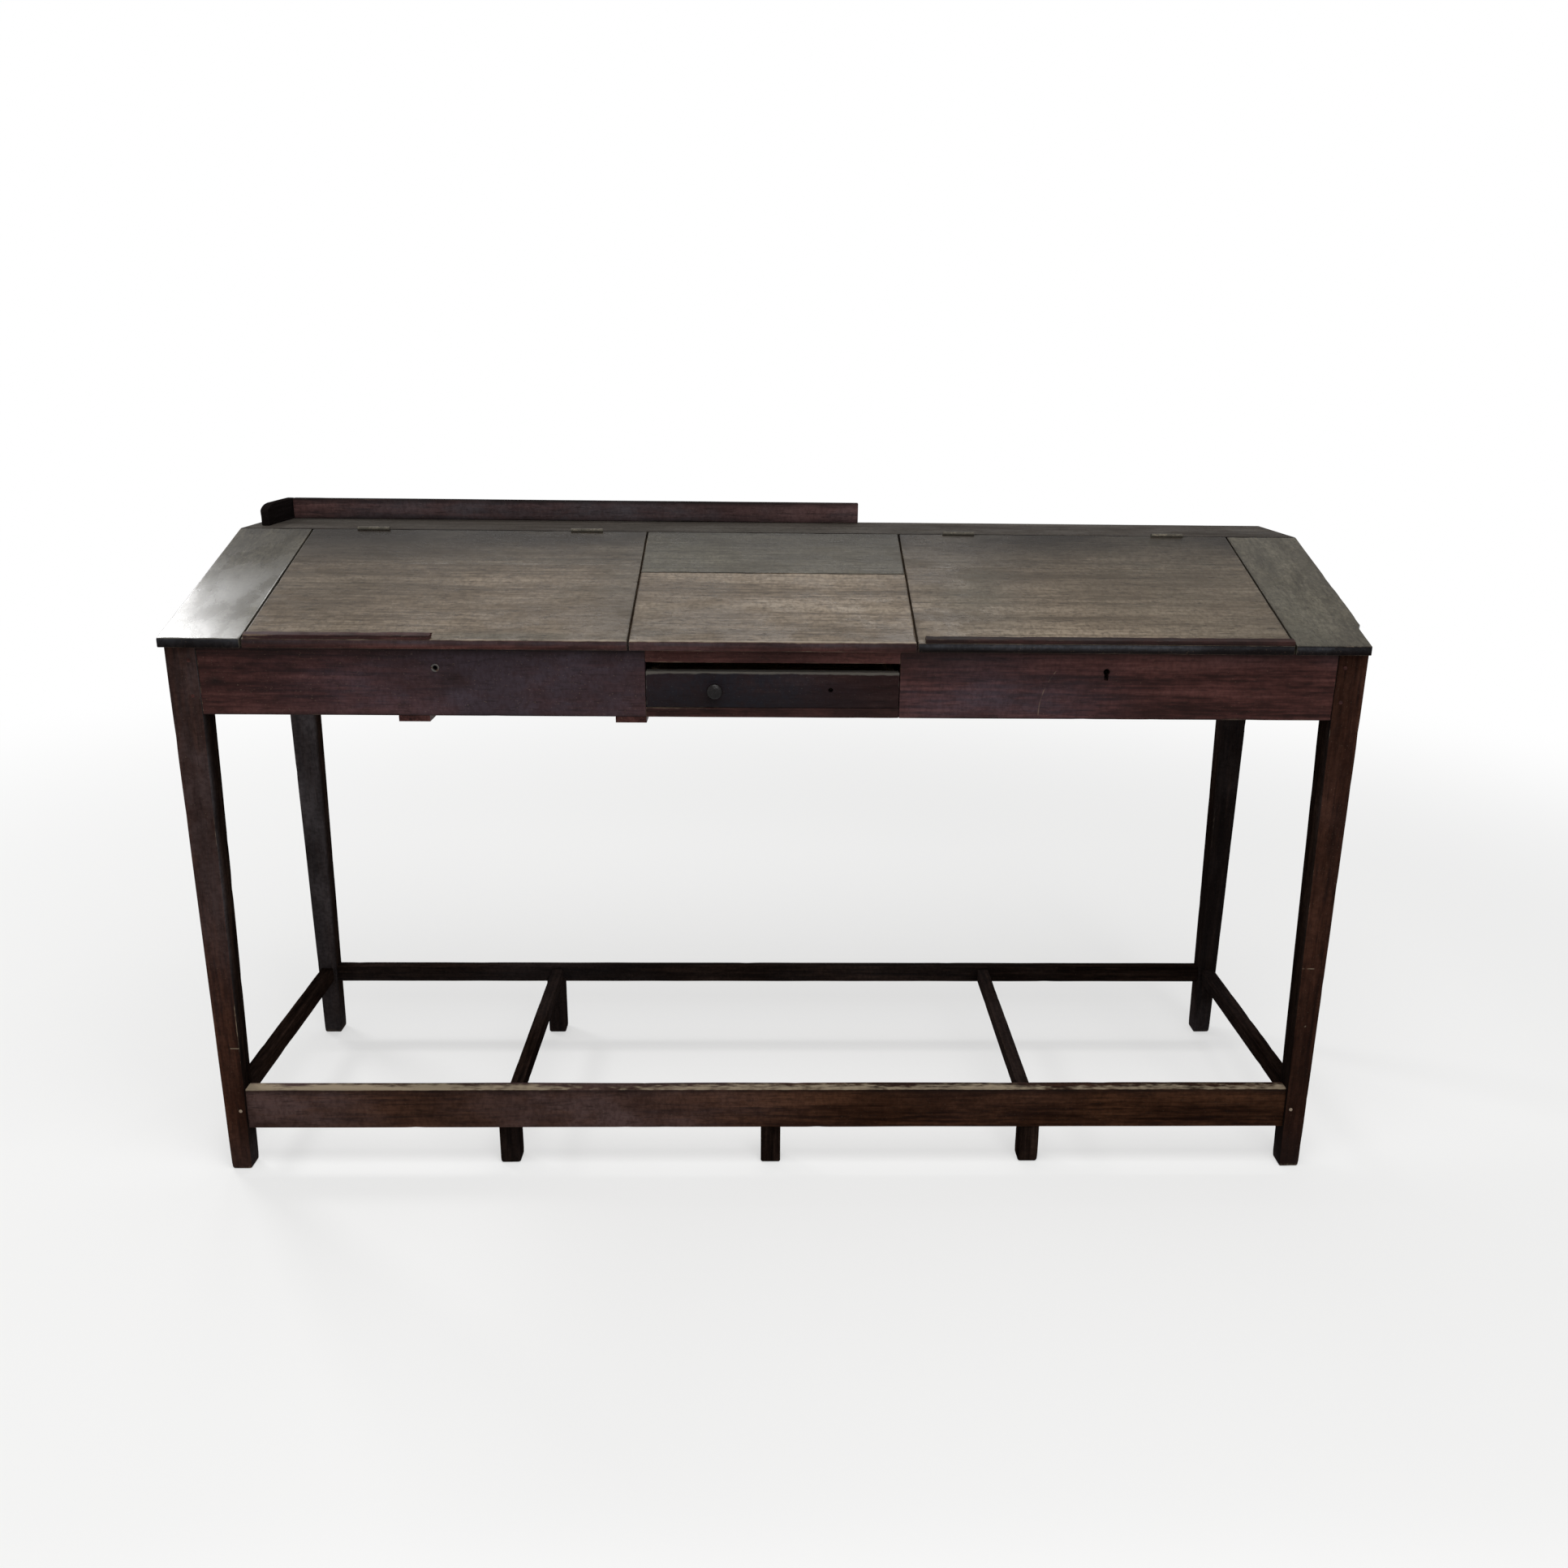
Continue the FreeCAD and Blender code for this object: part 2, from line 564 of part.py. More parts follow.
# Locks behind the apron, with the keyholes that show in front
LOCK_CENTRE = f"({LID_CENTRE} + lock_shift)"
LOCK_TOP = f"({slope_under(APRON_BACK)} - lock_drop)"
BOLT_MIDDLE = f"({LOCK_TOP} - bolt_drop)"
KEY_HEIGHT = f"({LOCK_TOP} - key_drop)"
STAPLE_FRONT = f"({APRON_BACK} + staple_setback)"
STAPLE_BACK = f"({STAPLE_FRONT} + staple_width)"
STAPLE_MIDDLE = f"({STAPLE_FRONT} + staple_width / 2)"
EYE_HALF_HEIGHT = "(bolt_height / 2 + staple_clearance)"
lock_cases = []
for word, side in SIDES.items():
    centre = f"({side} * {LOCK_CENTRE})"
    case_x = (f"({centre} - lock_width / 2)", f"({centre} + lock_width / 2)")
    case = block(f"{word}_lock_block", case_x, (APRON_BACK, f"({APRON_BACK} + lock_depth)"),
                 (f"({LOCK_TOP} - lock_height)", LOCK_TOP))
    hollow = block(f"{word}_lock_hollow", (f"{case_x[0]} + lock_wall", f"{case_x[1]} - lock_wall"),
                   (f"{APRON_BACK} - overrun", f"({APRON_BACK} + lock_depth - lock_wall)"),
                   (f"({LOCK_TOP} - lock_height + lock_wall)", f"({LOCK_TOP} - lock_wall)"))
    slot_half = "(staple_thickness / 2 + staple_clearance)"
    slot = block(f"{word}_staple_slot", (f"{centre} - {slot_half}", f"{centre} + {slot_half}"),
                 (f"{APRON_BACK} - overrun", f"({APRON_BACK} + lock_depth - lock_wall)"),
                 (f"({LOCK_TOP} - lock_wall - overrun)", f"({LOCK_TOP} + overrun)"))
    shell = cut(f"{word}_lock_shell", case, [hollow, slot])
    bolt_x = (f"({centre} - staple_thickness / 2 - bolt_rest_gap - bolt_length)",
              f"({centre} - staple_thickness / 2 - bolt_rest_gap)")
    shelf_z = f"({BOLT_MIDDLE} - bolt_height / 2 - bolt_slide_gap)"
    guide = block(f"{word}_bolt_guide", (f"{case_x[0]} + lock_wall", bolt_x[1]),
                  (f"{STAPLE_MIDDLE} - bolt_thickness / 2", f"({APRON_BACK} + lock_depth - lock_wall)"),
                  (f"{shelf_z} - lock_wall", shelf_z))
    lock_cases.append(joined(f"{word}_lock_case", [shell, guide]))
    bolt = block(f"{word}_lock_bolt", bolt_x,
                 (f"{STAPLE_MIDDLE} - bolt_thickness / 2", f"{STAPLE_MIDDLE} + bolt_thickness / 2"),
                 (f"{BOLT_MIDDLE} - bolt_height / 2", f"{BOLT_MIDDLE} + bolt_height / 2"))
    keep(f"{word}_lock_bolt", bolt)
    staple_x = (f"{centre} - staple_thickness / 2", f"{centre} + staple_thickness / 2")
    bar = block(f"{word}_staple_bar", staple_x, (STAPLE_FRONT, STAPLE_BACK),
                (f"({BOLT_MIDDLE} - {EYE_HALF_HEIGHT} - staple_bar)",
                 f"({slope_under(STAPLE_FRONT)} + staple_embed)"))
    eye_half = "(bolt_thickness / 2 + staple_clearance)"
    eye = block(f"{word}_staple_eye", (f"{staple_x[0]} - overrun", f"{staple_x[1]} + overrun"),
                (f"{STAPLE_MIDDLE} - {eye_half}", f"{STAPLE_MIDDLE} + {eye_half}"),
                (f"{BOLT_MIDDLE} - {EYE_HALF_HEIGHT}", f"{BOLT_MIDDLE} + {EYE_HALF_HEIGHT}"))
    keep(f"{word}_lock_staple", cut(f"{word}_staple", bar, [eye]))
    let_into(f"{word}_lid", bar)
keep("lock_cases", group("lock_cases", lock_cases))
KEY_RUN = "(apron_thickness + 2 * overrun)"
round_key = rod("left_keyhole", "round_key_radius", KEY_RUN,
                (f"-{LOCK_CENTRE}", f"{APRON_FRONT} - overrun", KEY_HEIGHT), ALONG_BACK)
let_into("left_front_apron", round_key)
key_eye = rod("right_key_eye", "key_eye_radius", KEY_RUN,
              (LOCK_CENTRE, f"{APRON_FRONT} - overrun", KEY_HEIGHT), ALONG_BACK)
key_slot = block("right_key_slot",
                 (f"{LOCK_CENTRE} - key_slot_width / 2", f"{LOCK_CENTRE} + key_slot_width / 2"),
                 (f"{APRON_FRONT} - overrun", f"{APRON_BACK} + overrun"),
                 (f"{KEY_HEIGHT} - key_slot_drop", KEY_HEIGHT))
let_into("right_front_apron", key_eye)
let_into("right_front_apron", key_slot)

# Front of the box: two apron boards with the drawer rails tenoned between them
RAIL_MIDDLE = f"({APRON_FRONT} + apron_thickness / 2)"
RAIL_TENON_Y = (f"({RAIL_MIDDLE} - tenon_thickness / 2)", f"({RAIL_MIDDLE} + tenon_thickness / 2)")


def front_board(name, x_range, bottom, top_at):
    """A board in the plane of the apron, bevelled along the top where it meets the slope."""
    return profile(name, x_range, [
        (APRON_FRONT, bottom),
        (APRON_BACK, bottom),
        (APRON_BACK, top_at(APRON_BACK)),
        (APRON_FRONT, top_at(APRON_FRONT)),
    ])


opening_x = (f"-{HALF_OPENING}", HALF_OPENING)
drawer_rails = {
    "drawer_top_rail": (OPENING_TOP, slope_under,
                        f"({slope_under(RAIL_TENON_Y[0])} - rail_tenon_shoulder)"),
    "drawer_bottom_rail": (APRON_BOTTOM, lambda place: OPENING_BOTTOM,
                           f"({OPENING_BOTTOM} - rail_tenon_shoulder)"),
}
for name, (bottom, top_at, tenon_top) in drawer_rails.items():
    members = [front_board(f"{name}_board", opening_x, bottom, top_at)]
    for word, side in SIDES.items():
        tenon_x = mirrored(side, HALF_OPENING, f"({HALF_OPENING} + rail_tenon_length)")
        tenon = block(f"{name}_{word}_tenon", tenon_x, RAIL_TENON_Y,
                      (f"({bottom} + rail_tenon_shoulder)", tenon_top))
        let_into(f"{word}_front_apron", tenon)
        members.append(tenon)
    keep(name, joined(f"{name}_whole", members))
for word, side in SIDES.items():
    board = front_board(f"{word}_apron_board", mirrored(side, HALF_OPENING, LEG_INNER),
                        APRON_BOTTOM, slope_under)
    keep(f"{word}_front_apron", joined(f"{word}_apron_whole", [board, apron_tenons[word]]))

# Side and back panels of the box
SIDE_PANEL_FRONT = f"({LEG_FRONT} + leg_width)"
SIDE_PANEL_BACK = f"({LEG_BACK} - leg_width)"
for word, side in SIDES.items():
    board = profile(f"{word}_side_board", mirrored(side, SIDE_PANEL_INNER, SIDE_PANEL_OUTER),
                    gable(SIDE_PANEL_FRONT, SIDE_PANEL_BACK, APRON_BOTTOM))
    keep(f"{word}_side_panel", joined(f"{word}_side_whole", [board] + side_tenons[word]))
board = block("back_board", (f"-{LEG_INNER}", LEG_INNER), (BACK_PANEL_FRONT, BACK_PANEL_BACK),
              (APRON_BOTTOM, SHELF_UNDER))
keep("back_panel", joined("back_whole", [board] + back_tenons))

# Bearers under the left compartment, notched under the apron and the back panel
BEARER_BOTTOM = f"({APRON_BOTTOM} - bearer_drop)"
OUTER_BEARER = f"({HALF_FRAME} * outer_bearer_share)"
INNER_BEARER = f"({PARTITION_INNER} + partition_thickness / 2)"
bearers = []
for number, place in enumerate((OUTER_BEARER, INNER_BEARER)):
    bearers.append(profile(f"floor_bearer_{number}",
                           (f"(-{place} - bearer_width / 2)", f"(-{place} + bearer_width / 2)"), [
                               (APRON_FRONT, BEARER_BOTTOM),
                               (BACK_PANEL_BACK, BEARER_BOTTOM),
                               (BACK_PANEL_BACK, APRON_BOTTOM),
                               (BACK_PANEL_FRONT, APRON_BOTTOM),
                               (BACK_PANEL_FRONT, FLOOR_UNDER),
                               (APRON_BACK, FLOOR_UNDER),
                               (APRON_BACK, APRON_BOTTOM),
                               (APRON_FRONT, APRON_BOTTOM),
                           ]))
keep("floor_bearers", group("floor_bearers", bearers))

# Drawer runners, each with a guide along the partition
runners = []
GUIDE_INNER = f"({HALF_OPENING} - drawer_box_inset + guide_gap)"
RUNNER_TOP = OPENING_BOTTOM
for word, side in SIDES.items():
    run = (APRON_BACK, BACK_PANEL_FRONT)
    base = block(f"{word}_runner_base",
                 mirrored(side, f"({PARTITION_INNER} - runner_reach)", PARTITION_INNER), run,
                 (f"({RUNNER_TOP} - runner_thickness)", RUNNER_TOP))
    guide = block(f"{word}_runner_guide", mirrored(side, GUIDE_INNER, PARTITION_INNER), run,
                  (RUNNER_TOP, f"({RUNNER_TOP} + guide_height)"))
    runners.append(joined(f"{word}_runner", [base, guide]))
runners[0] = cut("left_runner_notched", runners[0], [bearers[1]])
keep("drawer_runners", group("drawer_runners", runners))

# Foot rails and stretchers, shouldered to the taper of the legs
LOW_TENON_FRONT = f"({FOOT_RAIL_FRONT} + (foot_rail_thickness - low_tenon_thickness) / 2)"
LOW_TENON_BACK = f"({BACK_RAIL_FRONT} + (stretcher_thickness - low_tenon_thickness) / 2)"
LOW_FACE = f"({HALF_FRAME} - {LEG_AT_STRETCHER})"
long_rails = {}
rail_layouts = {
    "front_foot_rail": ("front", (FOOT_RAIL_FRONT, FOOT_RAIL_BACK), LOW_TENON_FRONT,
                        ("foot_rail_bottom", "(foot_rail_bottom + foot_rail_height)")),
    "back_foot_rail": ("back", (BACK_RAIL_FRONT, BACK_RAIL_BACK), LOW_TENON_BACK,
                       (BACK_RAIL_BOTTOM, "stretcher_top")),
}
for name, (end, y_range, tenon_y, z_range) in rail_layouts.items():
    blank = block(f"{name}_blank", (f"-({HALF_FRAME} - leg_foot_width / 2)",
                                    f"({HALF_FRAME} - leg_foot_width / 2)"), y_range, z_range)
    members = [cut(f"{name}_shouldered", blank, [legs[f"{end}_{word}_leg"] for word in SIDES])]
    middle = f"(({z_range[0]} + {z_range[1]}) / 2)"
    for word, side in SIDES.items():
        tenon_x = mirrored(side, f"({LOW_FACE} - overrun)", f"({LOW_FACE} + low_tenon_length)")
        tenon = block(f"{name}_{word}_tenon", tenon_x, (tenon_y, f"({tenon_y} + low_tenon_thickness)"),
                      (f"{z_range[0]} + low_tenon_shoulder", f"{z_range[1]} - low_tenon_shoulder"))
        members.append(tenon)
        let_into(f"{end}_{word}_leg", tenon)
        face = LEG_FRONT if end == "front" else LEG_BACK
        add_peg(f"{name}_{word}_peg", (f"{end}_{word}_leg", name),
                (f"{side} * ({LOW_FACE} + low_tenon_length / 2)", face, middle),
                ALONG_BACK if end == "front" else ALONG_FRONT, "low_peg_length")
    long_rails[name] = joined(f"{name}_whole", members)

STRETCHER_MIDDLE = f"({HALF_FRAME} - {LEG_AT_STRETCHER} / 2)"
for word, side in SIDES.items():
    name = f"{word}_side_stretcher"
    stretcher_x = mirrored(side, f"({STRETCHER_MIDDLE} - stretcher_thickness / 2)",
                           f"({STRETCHER_MIDDLE} + stretcher_thickness / 2)")
    blank = block(f"{name}_blank", stretcher_x,
                  (f"({LEG_FRONT} + leg_foot_width / 2)", f"({LEG_BACK} - leg_foot_width / 2)"),
                  (STRETCHER_BOTTOM, "stretcher_top"))
    members = [cut(f"{name}_shouldered", blank, [legs[f"{end}_{word}_leg"] for end in LEG_ENDS])]
    tenon_x = mirrored(side, f"({STRETCHER_MIDDLE} - low_tenon_thickness / 2)",
                       f"({STRETCHER_MIDDLE} + low_tenon_thickness / 2)")
    inward = FreeCAD.Rotation(FreeCAD.Vector(0, 1, 0), -90 * side)
    for end, y_sign in LEG_ENDS.items():
        corner = LEG_FRONT if end == "front" else LEG_BACK
        face = f"({corner} + {y_sign} * {LEG_AT_STRETCHER})"
        tip = f"({face} - {y_sign} * side_tenon_length)"
        root = f"({face} + {y_sign} * overrun)"
        tenon = block(f"{name}_{end}_tenon", tenon_x, (tip, root) if y_sign > 0 else (root, tip),
                      (f"{STRETCHER_BOTTOM} + low_tenon_shoulder", "stretcher_top - low_tenon_shoulder"))
        members.append(tenon)
        let_into(f"{end}_{word}_leg", tenon)
        add_peg(f"{name}_{end}_peg", (f"{end}_{word}_leg", name),
                (f"{side} * {HALF_FRAME}", f"({face} - {y_sign} * side_tenon_length / 2)",
                 f"({STRETCHER_BOTTOM} + stretcher_height / 2)"), inward, "low_peg_length")
    keep(name, joined(f"{name}_whole", members))

CROSS_Z = ("(cross_top - cross_height)", "cross_top")
CROSS_TENON_Z = (f"({CROSS_Z[0]} + low_tenon_shoulder)", f"({CROSS_Z[1]} - low_tenon_shoulder)")
for word, side in SIDES.items():
    name = f"{word}_cross_stretcher"
    centre = f"({side} * {HALF_FRAME} * cross_share)"
    bar = block(f"{name}_bar", (f"{centre} - cross_thickness / 2", f"{centre} + cross_thickness / 2"),
                (FOOT_RAIL_BACK, BACK_RAIL_FRONT), CROSS_Z)
    members = [bar]
    ends = {"front_foot_rail": (f"({FOOT_RAIL_BACK} - cross_tenon_length)", FOOT_RAIL_BACK),
            "back_foot_rail": (BACK_RAIL_FRONT, f"({BACK_RAIL_FRONT} + cross_tenon_length)")}
    for host, y_range in ends.items():
        tenon = block(f"{name}_{host}_tenon",
                      (f"{centre} - low_tenon_thickness / 2", f"{centre} + low_tenon_thickness / 2"),
                      y_range, CROSS_TENON_Z)
        members.append(tenon)
        let_into(host, tenon)
    keep(name, joined(f"{name}_whole", members))

# Short feet: three lapped behind the front rail, one tenoned into the back rail
SHORT_FRONT = f"({LEG_FRONT} + short_foot_setback)"
SHORT_BACK = f"({SHORT_FRONT} + short_foot_depth)"
LAP_TOP = "(foot_rail_bottom + short_foot_lap)"
for word, step in (("left", -1), ("middle", 0), ("right", 1)):
    centre = f"({step} * {HALF_FRAME} * short_foot_share)"
    keep(f"front_{word}_short_foot", profile(
        f"front_{word}_short_foot_body",
        (f"({centre} - short_foot_width / 2)", f"({centre} + short_foot_width / 2)"), [
            (SHORT_FRONT, 0),
            (SHORT_BACK, 0),
            (SHORT_BACK, LAP_TOP),
            (FOOT_RAIL_BACK, LAP_TOP),
            (FOOT_RAIL_BACK, "foot_rail_bottom"),
            (SHORT_FRONT, "foot_rail_bottom"),
        ]))
BACK_RAIL_MIDDLE = f"({BACK_RAIL_FRONT} + stretcher_thickness / 2)"
BACK_FOOT = f"(-{HALF_FRAME} * back_foot_share)"
foot = block("back_short_foot_block",
             (f"{BACK_FOOT} - short_foot_width / 2", f"{BACK_FOOT} + short_foot_width / 2"),
             (f"{BACK_RAIL_MIDDLE} - short_foot_depth / 2", f"{BACK_RAIL_MIDDLE} + short_foot_depth / 2"),
             (0, BACK_RAIL_BOTTOM))
tenon = block("back_short_foot_tenon",
              (f"{BACK_FOOT} - back_foot_tenon_width / 2", f"{BACK_FOOT} + back_foot_tenon_width / 2"),
              (f"{BACK_RAIL_MIDDLE} - low_tenon_thickness / 2",
               f"{BACK_RAIL_MIDDLE} + low_tenon_thickness / 2"),
              (BACK_RAIL_BOTTOM, CROSS_TENON_Z[0]))
let_into("back_foot_rail", tenon)
keep("back_short_foot", joined("back_short_foot_whole", [foot, tenon]))
for name, shape in long_rails.items():
    keep(name, shape)
for name, shape in legs.items():
    keep(name, shape)
keep("joint_pegs", group("joint_pegs", pegs))

# Hinges: two to a lid, knuckles on the joint between lid and shelf
HINGE_PARTS = ("fixed_leaf", "lid_leaf", "pin", "fixed_screws", "lid_screws")


def hinge(name, lid, x):
    """One butt hinge at a place along x, let into the lid and the shelf."""
    half = "(hinge_length / 2)"
    sixth = "(hinge_length / 6)"
    leaf_x = (f"({x} - {half})", f"({x} + {half})")
    leaf_z = (f"({HINGE_AXIS} - hinge_leaf_drop)", HINGE_AXIS)
    fixed_y = (SHELF_FRONT, f"({SHELF_FRONT} + hinge_leaf_thickness)")
    lid_y = (f"({LID_BACK} - hinge_leaf_thickness)", LID_BACK)
    fixed_plate = block(f"{name}_fixed_plate", leaf_x, fixed_y, leaf_z)
    lid_plate = block(f"{name}_lid_plate", leaf_x, lid_y, leaf_z)

    def barrel(part, radius, low, high):
        """A length of barrel on the hinge's axis."""
        return rod(f"{name}_{part}", radius, f"({high}) - ({low})", (low, JOINT, HINGE_AXIS), ALONG_X)

    outer_low = (f"({x} - {half})", f"({x} - {sixth})")
    outer_high = (f"({x} + {sixth})", f"({x} + {half})")
    inner = (f"({x} - {sixth} + hinge_knuckle_gap)", f"({x} + {sixth} - hinge_knuckle_gap)")
    clear = "(hinge_knuckle_radius + hinge_knuckle_gap)"
    bore = barrel("bore", "(hinge_pin_radius + hinge_pin_clearance)",
                  f"({x} - {half} - overrun)", f"({x} + {half} + overrun)")
    fixed = joined(f"{name}_fixed_solid", [
        fixed_plate,
        barrel("knuckle_low", "hinge_knuckle_radius", *outer_low),
        barrel("knuckle_high", "hinge_knuckle_radius", *outer_high),
    ])
    moving = joined(f"{name}_lid_solid", [lid_plate, barrel("knuckle", "hinge_knuckle_radius", *inner)])
    clear_middle = barrel("clear_middle", clear, f"({x} - {sixth})", f"({x} + {sixth})")
    clear_low = barrel("clear_low", clear, f"({x} - {half} - overrun)",
                       f"({x} - {sixth} + hinge_knuckle_gap)")
    clear_high = barrel("clear_high", clear, f"({x} + {sixth} - hinge_knuckle_gap)",
                        f"({x} + {half} + overrun)")
    notch = barrel("notch", "(hinge_knuckle_radius + hinge_notch_clearance)",
                   f"({x} - {half} - hinge_notch_clearance)", f"({x} + {half} + hinge_notch_clearance)")
    fixed_screws = [screw(f"{name}_fixed_screw_{step}", f"({x} + {step} * screw_spacing)",
                          SHELF_FRONT, ALONG_BACK) for step in range(-1, 2)]
    lid_screws = [screw(f"{name}_lid_screw_{step}", f"({x} + {step} * screw_spacing)",
                        LID_BACK, ALONG_FRONT) for step in range(-1, 2)]
    for tool in [notch, fixed_plate] + fixed_screws:
        let_into("back_shelf", tool)
    for tool in [notch, lid_plate] + lid_screws:
        let_into(lid, tool)
    return {
        "fixed_leaf": [cut(f"{name}_fixed_leaf", fixed, [clear_middle, bore] + fixed_screws)],
        "lid_leaf": [cut(f"{name}_lid_leaf", moving, [clear_low, clear_high, bore] + lid_screws)],
        "pin": [barrel("pin", "hinge_pin_radius", *leaf_x)],
        "fixed_screws": fixed_screws,
        "lid_screws": lid_screws,
    }


def screw(name, x, face, rotation):
    """A countersunk screw driven square into an edge from a leaf's face."""
    place = (x, face, f"({HINGE_AXIS} - screw_drop)")
    head = doc.addObject("Part::Cone", f"{name}_head")
    bind(head, "Radius1", "screw_head_radius")
    bind(head, "Radius2", "screw_shank_radius")
    bind(head, "Height", "screw_head_depth")
    put(head, *place, rotation)
    shank = rod(f"{name}_shank", "screw_shank_radius", "screw_length", place, rotation)
    return joined(name, [head, shank])


fixed_parts = {part: [] for part in HINGE_PARTS}
for word, side in SIDES.items():
    lid_parts = {part: [] for part in HINGE_PARTS}
    for number, step in enumerate((-1, 1)):
        place = f"({side} * {LID_CENTRE} + {step} * ({HALF_LID} - hinge_inset))"
        for part, shapes in hinge(f"{word}_hinge_{number}", f"{word}_lid", place).items():
            owner = lid_parts if part.startswith("lid") else fixed_parts
            owner[part] += shapes
    keep(f"{word}_lid_hinge_leaves", group(f"{word}_lid_hinge_leaves", lid_parts["lid_leaf"]))
    keep(f"{word}_lid_hinge_screws", group(f"{word}_lid_hinge_screws", lid_parts["lid_screws"]))
keep("shelf_hinge_leaves", group("shelf_hinge_leaves", fixed_parts["fixed_leaf"]))
keep("shelf_hinge_screws", group("shelf_hinge_screws", fixed_parts["fixed_screws"]))
keep("hinge_pins", group("hinge_pins", fixed_parts["pin"]))

# Sloping top: end boards, centre panel in two boards, and the lids with their furniture
HALF_SEAM = "(seam_gap / 2)"
CENTRE_JOINT = f"({TOP_FRONT} + centre_joint_setback)"
for word, side in SIDES.items():
    end_x = mirrored(side, f"({OUTER_SEAM} + {HALF_SEAM})", HALF_TOP)
    board = strip(f"{word}_end_strip", end_x, TOP_FRONT, LID_BACK, slope_under, slope_top)
    keep(f"{word}_end_board", board)
centre_x = (f"-({INNER_SEAM} - {HALF_SEAM})", f"({INNER_SEAM} - {HALF_SEAM})")
keep("centre_panel_lower", strip("centre_lower_strip", centre_x, TOP_FRONT,
                                 f"({CENTRE_JOINT} - board_joint / 2)", slope_under, slope_top))
keep("centre_panel_upper", strip("centre_upper_strip", centre_x, f"({CENTRE_JOINT} + board_joint / 2)",
                                 LID_BACK, slope_under, slope_top))


def cleat_under(place):
    """Height of a cleat's under face."""
    return f"({lid_under(place)} - cleat_thickness / cos(slope_angle))"


def ledge_top(place):
    """Height of a book ledge's upper face."""
    return f"({slope_top(place)} + ledge_rise)"


LID_INNER = f"({INNER_SEAM} + {HALF_SEAM})"
LID_OUTER = f"({OUTER_SEAM} - {HALF_SEAM})"
LEDGE_BACK = f"({TOP_FRONT} + ledge_width)"
LEFT_LEDGE_END = f"({LID_OUTER} - left_ledge_inset)"
ledge_spans = {
    "left": (f"-{LEFT_LEDGE_END}", f"-({LEFT_LEDGE_END} - left_ledge_length)"),
    "right": (f"({LID_INNER} + right_ledge_inset)", LID_OUTER),
}
for word, side in SIDES.items():
    lid_x = mirrored(side, LID_INNER, LID_OUTER)
    keep(f"{word}_lid", strip(f"{word}_lid_board", lid_x, TOP_FRONT, LID_BACK, lid_under, slope_top))
    cleats = []
    for step in (-1, 1):
        centre = f"({side} * {LID_CENTRE} + {step} * ({HALF_LID} - cleat_inset))"
        cleats.append(strip(f"{word}_cleat_{step + 1}",
                            (f"({centre} - cleat_width / 2)", f"({centre} + cleat_width / 2)"),
                            f"({TOP_FRONT} + cleat_front_setback)", f"({JOINT} - cleat_back_setback)",
                            cleat_under, lid_under))
    keep(f"{word}_lid_cleats", group(f"{word}_lid_cleats", cleats))
    keep(f"{word}_book_ledge", strip(f"{word}_ledge", ledge_spans[word], TOP_FRONT, LEDGE_BACK,
                                     slope_top, ledge_top))

# Flat shelf behind the slope, with what is left of its low gallery
keep("back_shelf", block("shelf_board", (f"-{HALF_TOP}", HALF_TOP), (SHELF_FRONT, TOP_BACK),
                         (SHELF_UNDER, SHELF_TOP)))
GALLERY_BACK = f"({TOP_BACK} - gallery_setback)"
WING_OUTER = f"(-{HALF_TOP} + wing_inset)"
WING_INNER = f"({WING_OUTER} + gallery_thickness)"
WING_FRONT = f"({GALLERY_BACK} - wing_length)"
keep("gallery_back", block("gallery_strip", (WING_INNER, f"({HALF_FRAME} * gallery_reach_share)"),
                           (f"({GALLERY_BACK} - gallery_thickness)", GALLERY_BACK),
                           (SHELF_TOP, f"({SHELF_TOP} + gallery_rise)")))
wing = profile("gallery_wing_body", (WING_OUTER, WING_INNER), [
    (WING_FRONT, SHELF_TOP),
    (GALLERY_BACK, SHELF_TOP),
    (GALLERY_BACK, f"({SHELF_TOP} + gallery_rise)"),
    (WING_FRONT, f"({SHELF_TOP} + wing_front_rise)"),
])
doc.recompute()
wing_pad = wing.Tip
corner = FreeCAD.Vector(0, evaluate(WING_FRONT), evaluate(f"{SHELF_TOP} + wing_front_rise"))
edges = wing_pad.Shape.Edges
corner_edge = min(range(len(edges)), key=lambda number: edges[number].distToShape(Part.Vertex(corner))[0]
                  + edges[number].CenterOfMass.distanceToPoint(corner))
rounding = wing.newObject("PartDesign::Fillet", "gallery_wing_corner")
rounding.Base = (wing_pad, [f"Edge{corner_edge + 1}"])
bind(rounding, "Radius", "wing_corner_radius")
keep("gallery_wing", wing)

# Drawer: lapped front, grooved bottom, one knob left of two
DRAWER_FACE = APRON_FRONT
FRONT_BACK = f"({DRAWER_FACE} + drawer_front_thickness)"
DRAWER_END = f"({DRAWER_FACE} + drawer_length)"
FRONT_HALF = f"({HALF_OPENING} - drawer_side_gap)"
BOX_HALF = f"({HALF_OPENING} - drawer_box_inset)"
BOX_INNER = f"({BOX_HALF} - drawer_side_thickness)"
PANEL_Z = (f"({DRAWER_BOTTOM} + drawer_bottom_lift)",
           f"({DRAWER_BOTTOM} + drawer_bottom_lift + drawer_bottom_thickness)")
SIDE_START = f"({FRONT_BACK} - drawer_lap)"
KNOB_HEIGHT = f"({DRAWER_BOTTOM} + drawer_front_height / 2)"
grooved_x = (f"-({BOX_INNER} + drawer_groove)", f"({BOX_INNER} + drawer_groove)")
bottom_panel = block("drawer_bottom_board", grooved_x, (f"({FRONT_BACK} - drawer_groove)", DRAWER_END),
                     PANEL_Z)
back_start = f"({DRAWER_END} - drawer_side_thickness - drawer_back_inset)"
back_board = block("drawer_back_board", grooved_x, (back_start, f"({back_start} + drawer_side_thickness)"),
                   (PANEL_Z[1], f"({DRAWER_BOTTOM} + drawer_side_height)"))
let_into("drawer_front", bottom_panel)
